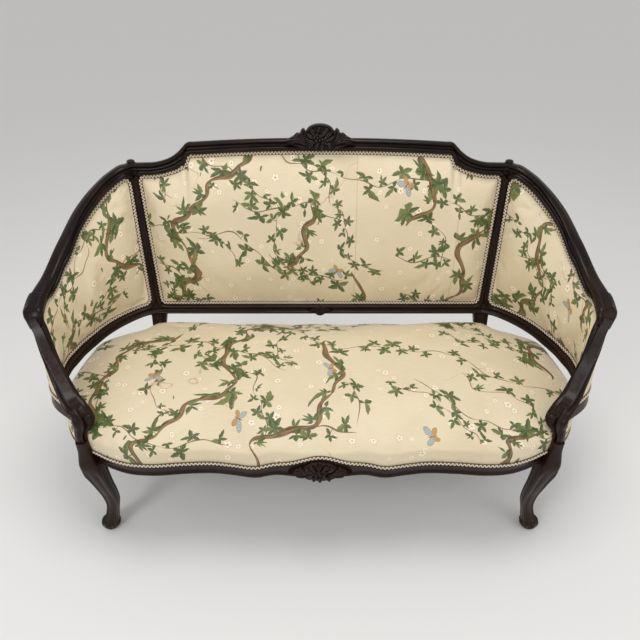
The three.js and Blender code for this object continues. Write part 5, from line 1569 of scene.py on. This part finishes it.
def panelGimp(panel, proud, facing):
    def count(length):
        return int(round(length / gimp["period"])) * gimp["perPeriod"]

    loop = panelLoop(panel, strip - 0.9 - gimpWidth / 2, count)
    lengths = np.arange(len(loop["points"])) / gimp["perPeriod"] * gimp["period"]
    points = loop["points"] + loop["normal"] * proud
    return gimpShell(points, loop["out"], loop["normal"] * facing, lengths, True)


def seatGimp(low, high):
    # Along the foot of the cover, following the arch over the carving.
    def at(steps):
        height = railBottom + seatRail["face"] + 0.6 + gimpWidth / 2 + faceRise(steps)
        return ringAt(planAt(steps, 1.4), height)

    fine = np.linspace(low, high, 3000)
    walked = walk(at(fine))
    lengths = np.linspace(0, walked[-1], int(walked[-1] / gimp["period"]) * gimp["perPeriod"] + 1)
    steps = np.interp(lengths, walked, fine)
    points = at(steps)
    normal = ringAt(unit(planAt(steps, 0.0) - planAt(steps, 1.0)), 0.0)
    upward = unit(np.cross(normal, unit(np.gradient(points, axis=0))))
    return gimpShell(points, upward, normal, lengths, False)


def gimpPiece(name, shell, node):
    makePiece(name, shell, gimpBraid, [node])


gimpFaces = (("inside", coverFront + 0.4, 1), ("outside", coverOutside - 0.4, -1))
for face, proud, facing in gimpFaces:
    gimpPiece("gimp_back_" + face, panelGimp(backPanel, proud, facing), "back_" + face + "_gimp")
for side, sign, turn in sides:
    for face, proud, facing in gimpFaces:
        gimpPiece("gimp_wing_" + face + side, turn(panelGimp(wingPanel, proud, facing)),
                  "wing_" + face + "_gimp" + side)
    gimpPiece("gimp_seat_side" + side, turn(seatGimp(11.15, 21.3)), "seat_gimp_side" + side)
gimpPiece("gimp_seat_front", seatGimp(-10.6, 10.6), "seat_gimp_front")
print("settee: gimp")

# ---- floor and light
# Each lamp's place, the point it faces, its size and its power.
studio = {
    "floor": "f1f0ee", "reach": 80, "world": 0.58, "seen": 0.51,
    "lamps": {"key_lamp": ((-1.6, -2.2, 2.6), (0, 0, 0.4), 1.1, 22),
              "fill_lamp": ((2.0, -1.8, 1.8), (0, 0, 0.4), 2.0, 9),
              "top_lamp": ((0.1, -0.1, 3.0), (0, 0.1, 0.3), 1.2, 22)},
}
corners = np.array([[-1, -1, 0], [1, -1, 0], [1, 1, 0], [-1, 1, 0]]) * studio["reach"]
floorMesh = bpy.data.meshes.new("studio_floor")
floorMesh.from_pydata(corners.tolist(), [], [[0, 1, 2, 3]])
floorMesh.materials.append(startMaterial("studio_floor", 0.85, Base_Color=colour(studio["floor"]))[0])
floor = bpy.data.objects.new("studio_floor", floorMesh)
scene.collection.objects.link(floor)

world = bpy.data.worlds.new("studio")
scene.world = world
world.use_nodes = True
background = world.node_tree.nodes["Background"]
background.inputs["Color"].default_value = (1, 1, 1, 1)
# Where the world itself is seen, straight or mirrored, it is as bright as the floor far away.
rayKinds = makeNode(world.node_tree, "LightPath", {}).outputs
rays = [Field(world.node_tree, rayKinds["Is " + kind + " Ray"])
        for kind in ("Camera", "Glossy", "Transmission")]
seen = (rays[0] + rays[1] + rays[2]).op("MINIMUM", 1.0)
strength = seen * (studio["seen"] - studio["world"]) + studio["world"]
world.node_tree.links.new(strength.socket, background.inputs["Strength"])

for name, (place, target, size, power) in studio["lamps"].items():
    data = bpy.data.lights.new(name, "AREA")
    data.shape, data.size, data.energy = "DISK", size, power
    light = bpy.data.objects.new(name, data)
    light.location = place
    light.rotation_euler = (Vector(target) - Vector(place)).to_track_quat("-Z", "Y").to_euler()
    scene.collection.objects.link(light)

scene.view_settings.view_transform = "Standard"
